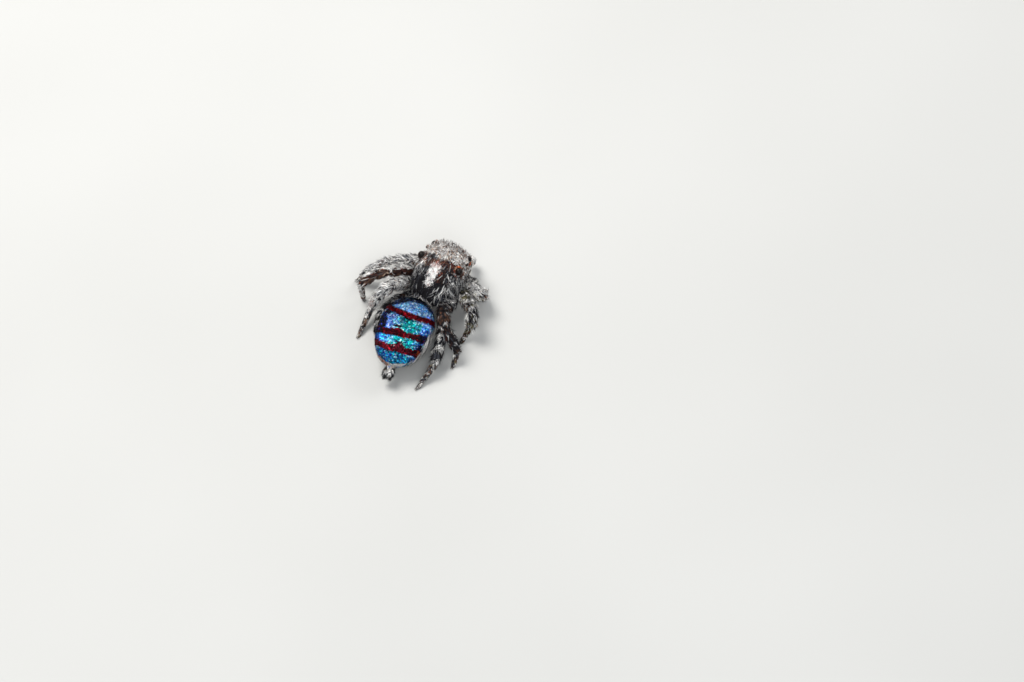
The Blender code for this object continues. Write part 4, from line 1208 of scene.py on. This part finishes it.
def stubble_batch():
    """Short stiff hair that stands on the dome, thicker along its front edge."""
    places, normals, ids = roots_on("carapace", 900)
    local = brought_back(places, HEAD)
    share, z = -local[:, 1] / PROSOMA_LENGTH, local[:, 2]
    front = step(0.80, 0.90, share)
    wanted = (share > 0.62) & (z > 1.30) & (chance.random(len(share)) < 0.25 + 0.75 * front)
    p, n, i, front = kept(wanted, places, normals, ids, front)
    count = len(p)
    row = everywhere(count, white=4, silver=3, grey=2, black=3, brown=2)
    lie = head_lie(p) * (1 - front[:, None]) + front[:, None] * toward(HEAD, (0, -0.6, 0.9), count)
    lift = varied(count, 0.080, 0.4) * (1 + 0.3 * front)
    length, width = varied(count, 0.085), varied(count, 0.011)
    return grown((p, n, i), lie, length, width, lift, 0.6, 0.0, row)


head = head_batches()
coat_piece("coat_head", head["head"] + [brow_batch()], hair_look)
thorax = head["thorax"] + [long_hair_batch(), stubble_batch()]
coat_piece("coat_thorax", thorax, hair_look)

# %% [markdown]
# ### Fringe over the jaws
# Males carry a white fringe that hangs over the jaws. It grows from the lower edge of the face.

# %% Fringe over the jaws
def fringe_batch():
    """White hair that hangs from the lower edge of the face."""
    places, normals, ids = roots_on("carapace", 6000)
    local = brought_back(places, HEAD)
    wanted = (local[:, 1] < -0.96 * PROSOMA_LENGTH) & (local[:, 2] < 1.02) & (np.abs(local[:, 0]) < 0.55)
    p, n, i = kept(wanted, places, normals, ids)
    count = len(p)
    row = everywhere(count, white=8, silver=2, tan=0.6)
    lie = toward(HEAD, (0, -0.15, -1), count)
    length, width, lift = varied(count, 0.24), varied(count, 0.014), varied(count, 0.05)
    return grown((p, n, i), lie, length, width, lift, 0.15, 0.2, row)


# %% [markdown]
# ### Scales of the fan
# Scales lie like shingles, each tilted a little by chance, so that a few at a time catch the light. The
# red bars stand a hair's breadth higher than the blue field.

# %% Fan and flanks of the abdomen
FAN_DENSITY = 9000


def fan_batches():
    """Shingled scales on the plate, raised on the bars."""
    places, normals, ids = roots_on("abdomen", FAN_DENSITY)
    x, y, z = brought_back(places, ABDOMEN).T
    p, n, i, x, y = kept(z > -0.02, places, normals, ids, x, y)
    bars = bar_mask(x, y) > chance.random(len(x))
    weights = marks(p, i)
    count = len(p)
    # The last number is the painted glint of the fan's scales: cells of scales drawn brighter or darker
    # as sparkle.
    tint = drawn_tints(weights, 0.35, p, 0.048, 0.45, 0.55)
    lie = toward(ABDOMEN, (0, 1, -0.1), count)
    length = varied(count, 0.080)
    lift = varied(count, 0.014) + 0.020 * bars
    blade = tufts(p, n, lie, length, varied(count, 0.038), lift, "scale", 0.22, 0.0)
    return [(*blade, tint, root_map(p, i))]


def rim_batches():
    """White down along the fan's rim, long parallel hair on the folded flaps, short coat below."""
    batches = []
    places, normals, ids = roots_on("abdomen", 4200)
    low = brought_back(places, ABDOMEN)[:, 2] < 0.0
    p, n, i = kept(low, places, normals, ids)
    count = len(p)
    lie = toward(ABDOMEN, (0, 1, -0.05), count)
    length, width, lift = varied(count, 0.15), varied(count, 0.022), varied(count, 0.026)
    batches.append(grown((p, n, i), lie, length, width, lift, 0.25, 0.35, marks(p, i)))

    places, normals, ids = roots_on("abdomen", 900)
    x, y, z = brought_back(places, ABDOMEN).T
    on = (z < 0.03) & (z > -0.36) & (y > -0.42) & (y < 0.95)
    edge = x + 0.790 - 0.10 * np.clip(y - 0.35, 0, 1) + chance.normal(0, 0.02, len(x))
    on |= (edge < 0) & (z > -0.02) & (y > -0.50) & (y < 0.45)
    p, n, i, x, y = kept(on, places, normals, ids, x, y)
    count = len(p)
    slope_x = np.sign(x) * np.abs(x / ABDOMEN_HALF.x) ** 1.15 / ABDOMEN_HALF.x
    slope_y = np.sign(y) * np.abs(y / ABDOMEN_HALF.y) ** 1.15 / ABDOMEN_HALF.y
    rim_way = np.stack([-np.sign(x) * slope_y * 0.9, np.abs(slope_x) + 0.05, np.full(count, 0.02)], 1)
    lie = unit(rim_way) @ np.array(ABDOMEN.to_3x3()).T
    row = everywhere(count, snow=7, silver=1.8, grey=1.2, slate=3.0, black=2.6)
    length = varied(count, 0.44) * (1 - 0.60 * step(0.40, 0.85, y)) * (1 - 0.45 * (x > 0))
    width, lift = varied(count, 0.013), 0.11 * length
    batches.append(grown((p, n, i), lie, length, width, lift, 0.08, 0.06, row, curl=0.05))

    places, normals, ids = roots_on("abdomen", FAN_DENSITY)
    x, y, z = brought_back(places, ABDOMEN).T
    rim = rim_distance(x, y)
    on = (rim > 0.955) & (z > -0.14) & (z < 0.10)
    on |= (rim > 0.90) & (z > -0.30) & (z < 0.0) & (x > 0.25) & (y > -0.5)
    p, n, i, x, y = kept(on, places, normals, ids, x, y)
    count = len(p)
    outward = np.stack([x / ABDOMEN_HALF.x, y / ABDOMEN_HALF.y, np.full(count, 0.25)], 1)
    along = np.stack([np.zeros(count), np.where(y < -0.45, -1.0, 1.0), np.zeros(count)], 1)
    lie = (0.55 * unit(outward) + 0.6 * along) @ np.array(ABDOMEN.to_3x3()).T
    row = everywhere(count, white=8, silver=3, grey=0.8, tan=0.8)
    # Hairs at the front of the rim are painted darker: painted shade in the gap behind the thorax.
    front = y < -0.45
    row = laid(row, 1.0 * front, snow=3, silver=1.6, grey=1, slate=3, black=6)
    row = laid(row, 0.9 * step(0.2, 0.4, x) * (~front), snow=7, silver=2)
    row = laid(row, step(0.84, 0.94, y) * step(0.05, 0.15, x), tan=3, rust=2, orange=1.4, white=2.4)
    length = varied(count, 0.13) + 0.10 * front
    keep = (~front) | (chance.random(count) < 0.03 + 0.06 * (x < -0.1))
    p, n, i, lie, row, front, length = kept(keep, p, n, i, lie, row, front, length)
    count = len(p)
    width, lift = varied(count, 0.012), varied(count, 0.030) + 0.05 * front
    batches.append(grown((p, n, i), lie, length, width, lift, 0.3, 0.2, row))
    return batches


coat_piece("coat_fan", fan_batches(), fan_look)
coat_piece("coat_abdomen", rim_batches(), white_look)

# %% [markdown]
# ### Small parts
# The palps are white, the spinnerets black with a white top, breast and waist dark. They share one
# piece, because each alone would be only a few hundred hairs.

# %% Spinnerets, breast, palps and jaw fringe
# For each small part: turn, lie, roots per square mm, length, width and lift
SMALL_COATS = {
    "palp": (HEAD, (0, -1, -0.6), 5000, 0.12, 0.018, 0.028),
    "spin": (ABDOMEN, (0, 1, -0.1), 7000, 0.19, 0.014, 0.03),
    "sternum": (HEAD, (0, 1, 0), 2200, 0.14, 0.020, 0.03),
    "waist": (HEAD, (0, 1, 0), 3000, 0.12, 0.018, 0.03),
}


def small_batches():
    """The jaw fringe and the coats of the small parts."""
    batches = [fringe_batch()]
    for prefix, (matrix, way, density, length, width, lift) in SMALL_COATS.items():
        p, n, i = roots_on(prefix, density)
        count = len(p)
        lie = toward(matrix, way, count)
        weights = marks(p, i)
        if prefix == "spin":
            x, y, _ = brought_back(p, ABDOMEN).T
            top = step(-0.1, 0.2, n[:, 2]) * step(0.110, 0.075, np.abs(x + 0.01)) * step(1.37, 1.30, y)
            weights = laid(weights, top, snow=9, silver=1.2, tan=0.4)
        sizes = [varied(count, value) for value in (length, width, lift)]
        batches.append(grown((p, n, i), lie, *sizes, 0.3, 0.35, weights))
    return batches


coat_piece("coat_mouth_and_tail", small_batches(), white_look)

# %% [markdown]
# ### Coat of the legs
# Three lengths mix on each leg: flat scales close to the skin, tufted hair over them, and a few long
# bristles that stand out. Bare faces of the thighs keep only a thin cover.

# %% Legs
# For each kind of hair: roots per square mm, length, width, lift, roll and clump
LEG_COATS = {
    "coat": (4800, 0.120, 0.026, 0.026, 0.35, 0.5),
    "tuft": (1100, 0.185, 0.018, 0.055, 0.35, 0.7),
    "bristle": (90, 0.28, 0.012, 0.11, 0.30, 0.0),
}
HAIR_END = {"tuft": 4.3, "bristle": 4.0}


def leg_batches(leg, tile):
    """The hair of one leg, which takes one of two tiles of its piece's map."""
    batches = []
    # The third and fourth right legs are in painted shade: darker bristles, and tufts that are not
    # lightened.
    shaded_leg = leg in ("3_right", "4_right")
    for kind, (density, length, width, lift, roll, clump) in LEG_COATS.items():
        p, n, i = roots_on("leg_" + leg, density)
        position, direction, outward = leg_place(p, leg)
        bare = bare_faces(p, leg)
        keep = chance.random(len(p)) > 0.93 * bare
        if kind != "coat":
            keep &= (position > 1.1) & (position < HAIR_END[kind]) & (outward[:, 2] > -0.5)
        p, n, i, direction, position, outward = kept(keep, p, n, i, direction, position, outward)
        count = len(p)
        weights = marks(p, i)
        if kind == "tuft" and not shaded_leg:
            weights = 0.8 * weights + 0.2 * recipe(white=6, silver=3, black=3)
        if kind == "bristle":
            row = recipe(white=1, silver=2, black=8) if shaded_leg else recipe(white=4, silver=4, black=3)
            weights = np.tile(row, (count, 1))
        slender = 1 - 0.42 * step(3.7, 4.2, position) - 0.22 * step(5.0, 5.6, position)
        if leg == "3_left" and kind != "bristle":
            slender = slender * (1 + 0.45 * step(0.0, 0.5, outward[:, 1]) * step(3.2, 2.6, position))
        long = varied(count, length) * slender
        high = varied(count, lift) * slender
        wide = varied(count, width) * slender ** 0.5
        blade = tufts(p, n, direction, long, wide, high, "hair", roll, clump)
        batches.append((*blade, drawn_tints(weights, 0.2, p), root_map(p, i, tile, 2)))
    return batches


for side in ("left", "right"):
    for front_leg, rear_leg in ((1, 2), (3, 4)):
        batches = leg_batches(f"{front_leg}_{side}", 0) + leg_batches(f"{rear_leg}_{side}", 1)
        coat_piece(f"coat_legs_{front_leg}_{rear_leg}_{side}", batches, hair_look)

# %% [markdown]
# ## Bare pieces
# Lenses are black glass domes with a faint brown depth. Jaws are smooth red-brown horn with a fang each.
# Claws are tiny black hooks under the tip of each foot.

# %% Lenses
lens_look, tree, shader = material("eye_lens", 0.04, Specular_IOR_Level=0.22)
depth = tree.nodes.new("ShaderNodeLayerWeight")
depth.inputs["Blend"].default_value = 0.35
two_tone(tree, shader, depth.outputs["Facing"], (0.003, 0.002, 0.002), (0.036, 0.015, 0.008))

for kind, (_, _, _, radius) in EYES.items():
    for sign, label in ((1, "left"), (-1, "right")):
        middle = (np.array(eye_middle(kind, sign)) + SHIFT) * MM
        segments = 64 if radius > 0.1 else 32
        rings = segments // 2
        bpy.ops.mesh.primitive_uv_sphere_add(segments=segments, ring_count=rings, radius=radius * MM)
        lens = bpy.context.object
        lens.name = lens.data.name = f"lens_{kind}_{label}"
        set_points(lens, mesh_points(lens) + middle)
        bpy.ops.object.shade_smooth()
        lens.data.materials.append(lens_look)
        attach(lens, "root")
        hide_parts(f"eye_{kind}_{label}")
print("lenses:", 2 * len(EYES))

# %% [markdown]
# ### Jaws and fangs
# A jaw is a swollen tube with a curved fang that folds in under it. A fine remesh joins the two, so
# that no seam shows where the fang leaves the jaw.

# %% Jaws and fangs
horn_look, tree, shader = material("horn_brown", 0.32, Coat_Weight=0.25, Coat_Roughness=0.2)
factor, raw = object_noise(tree, 5000, 4, 0.0, 1.0)
two_tone(tree, shader, factor, (0.055, 0.018, 0.010), (0.24, 0.085, 0.035))
bumped(tree, shader, raw, 0.3, 0.00001)


def finished(obj, name, look, slot_name, *stands_for):
    """Moves a piece made in millimetres to its place in metres and hands it to the frame."""
    set_points(obj, (mesh_points(obj) + SHIFT) * MM)
    obj.name = obj.data.name = name
    obj.data.materials.clear()
    obj.data.materials.append(look)
    activate(obj)
    bpy.ops.object.shade_smooth()
    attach(obj, "root")
    if stands_for:
        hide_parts(*stands_for)


# Along each path: distance from the middle, depth behind the face, height and radius
JAW_PATH = (
    (0.185, 0.24, 0.90, 0.11), (0.185, 0.20, 0.86, 0.13), (0.186, 0.15, 0.78, 0.148),
    (0.185, 0.12, 0.68, 0.152), (0.182, 0.11, 0.58, 0.150), (0.172, 0.13, 0.47, 0.132),
    (0.160, 0.16, 0.40, 0.108), (0.150, 0.20, 0.35, 0.06),
)
FANG_PATH = (
    (0.150, 0.20, 0.385, 0.032), (0.135, 0.235, 0.345, 0.030), (0.100, 0.265, 0.325, 0.022),
    (0.060, 0.275, 0.335, 0.013), (0.035, 0.27, 0.355, 0.004),
)


def mouth_limb(name, sign, path, sides):
    """A jaw or fang on one side, along a path behind the face."""
    places = [HEAD @ Vector((sign * x, behind - PROSOMA_LENGTH, z)) for x, behind, z, _ in path]
    return limb(name, places, [radius for *_, radius in path], sides)


for sign, label in ((1, "left"), (-1, "right")):
    jaw = mouth_limb("jaw", sign, JAW_PATH, 6)
    activate(jaw, mouth_limb("fang", sign, FANG_PATH, 4))
    bpy.ops.object.join()
    modifier = jaw.modifiers.new("round", "REMESH")
    modifier.mode = "VOXEL"
    modifier.voxel_size = 0.010
    soften = jaw.modifiers.new("soften", "SMOOTH")
    soften.iterations = 4
    bpy.ops.object.modifier_apply(modifier="round")
    bpy.ops.object.modifier_apply(modifier="soften")
    finished(jaw, f"jaw_{label}", horn_look, "brown_cuticle", f"chelicera_{label}")
    print("jaw", label, len(jaw.data.polygons), "faces")

# %% [markdown]
# ### Claws
# Two small hooks end each foot. They are thin limbs, joined into one piece.

# %% Claws
claw_look, tree, shader = material("claw_black", 0.30)
factor, raw = object_noise(tree, 8000, 3, 0.0, 1.0)
two_tone(tree, shader, factor, (0.010, 0.008, 0.007), (0.05, 0.025, 0.015))
# Along a claw: reach past the foot, height and radius
CLAW_PATH = ((0, 0.055, 0.012), (0.035, 0.055, 0.011), (0.060, 0.036, 0.008), (0.066, 0.012, 0.003))
CLAW_APART = 0.025
claws = []
for joints in LEGS.values():
    tip = joints[-1]
    ahead = tip - joints[-2]
    ahead.z = 0
    ahead = ahead.normalized() if ahead.length > 0.02 else Vector((0, 1, 0))
    side = Vector((-ahead.y, ahead.x, 0))
    for sign in (1, -1):
        start = tip + sign * CLAW_APART * side + ahead * 0.01
        path = [start + ahead * reach + Vector((0, 0, height)) for reach, height, _ in CLAW_PATH]
        claws.append(limb("claw", path, [radius for *_, radius in CLAW_PATH], 2))
activate(*claws)
bpy.ops.object.join()
print("claws:", len(claws))
finished(bpy.context.object, "claws", claw_look, "dark_cuticle")

# %% [markdown]
# ### The skin takes its place
# Up to here the skin stayed in millimetres, because roots were drawn from it. Now it is moved to its
# place in metres, and it stands for every solid of flesh.

# %% The skin takes its place
FLESH = [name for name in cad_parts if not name.startswith(("eye_", "chelicera_"))]
set_points(skin, (mesh_points(skin) + SHIFT) * MM)
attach(skin, "root")
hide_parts(*FLESH)
print("the skin stands for", len(FLESH), "solids")

# %% [markdown]
# ## Floor, light and camera
# A pale floor and large soft lights keep the eye on the animal. The camera looks down from behind, with
# a long lens.

# %% Floor
bpy.ops.mesh.primitive_plane_add(size=4)
floor = bpy.context.object
floor.name = "floor"
floor_look, tree, shader = material("floor_pale", 0.8)
factor, raw = object_noise(tree, 60, 2, 0.0, 1.0)
two_tone(tree, shader, factor, (0.52, 0.52, 0.505), (0.56, 0.56, 0.545))
floor.data.materials.append(floor_look)

# %% [markdown]
# ### Lights
# A broad key light from the right, a weak fill and a weak light from the front, with a pale sky. Broad
# lights give soft shadows and let only a few scales glint.

# %% Lights
world = bpy.data.worlds.new("soft_sky")
bpy.context.scene.world = world
world.use_nodes = True
world.node_tree.nodes["Background"].inputs["Color"].default_value = (0.93, 0.96, 1.0, 1)
world.node_tree.nodes["Background"].inputs["Strength"].default_value = 0.38


def soft_light(name, azimuth, elevation, distance, size, power, colour):
    """An area light that looks at the spider from an azimuth and elevation, in metres."""
    a, e = math.radians(azimuth), math.radians(elevation)
    place = Vector((math.sin(a) * math.cos(e), math.cos(a) * math.cos(e), math.sin(e))) * distance
    data = bpy.data.lights.new(name, "AREA")
    data.shape = "DISK"
    data.size = size
    data.energy = power
    data.color = colour
    light = bpy.data.objects.new(name, data)
    light.location = place
    light.rotation_euler = place.to_track_quat("Z", "Y").to_euler()
    bpy.context.scene.collection.objects.link(light)
    print("light", name, "at", tuple(round(v, 3) for v in place))


soft_light("key", 110, 62, 0.09, 0.05, 0.085, (1.0, 0.98, 0.95))
soft_light("fill", -25, 45, 0.10, 0.07, 0.035, (0.95, 0.98, 1.0))
soft_light("rim", 215, 35, 0.10, 0.05, 0.030, (1.0, 1.0, 1.0))

# %% [markdown]
# ### Tone and camera
# The plain curve keeps the fan as strongly coloured, and the hair as contrasting, as the animal is.
# The long lens keeps the view nearly parallel, as a macro photograph does.

# %% Tone
bpy.context.scene.view_settings.view_transform = "Standard"

# %% Camera
# The picture's width where the spider is, in millimetres, then the lens and the sensor
FRAME_WIDTH, LENS, SENSOR = 31.03, 200, 36
ASIDE, BELOW, AIM_HEIGHT = 2.697, 1.227, 0.85
right = Vector((-0.951, -0.309, 0))
up = Vector((0.253, -0.779, 0.574))
back = right.cross(up)
aim = Vector((0, 0, AIM_HEIGHT)) + ASIDE * right - BELOW * up + Vector(SHIFT)
distance = FRAME_WIDTH * LENS / SENSOR
camera_data = bpy.data.cameras.new("camera")
camera_data.lens = LENS
camera_data.sensor_width = SENSOR
camera_data.clip_start = 0.001
camera_data.clip_end = 20
camera = bpy.data.objects.new("camera", camera_data)
camera.location = (aim + back * distance) * MM
camera.rotation_euler = back.to_track_quat("Z", "Y").to_euler()
bpy.context.scene.collection.objects.link(camera)
bpy.context.scene.camera = camera
print("camera at", tuple(round(v, 4) for v in camera.location), "m")
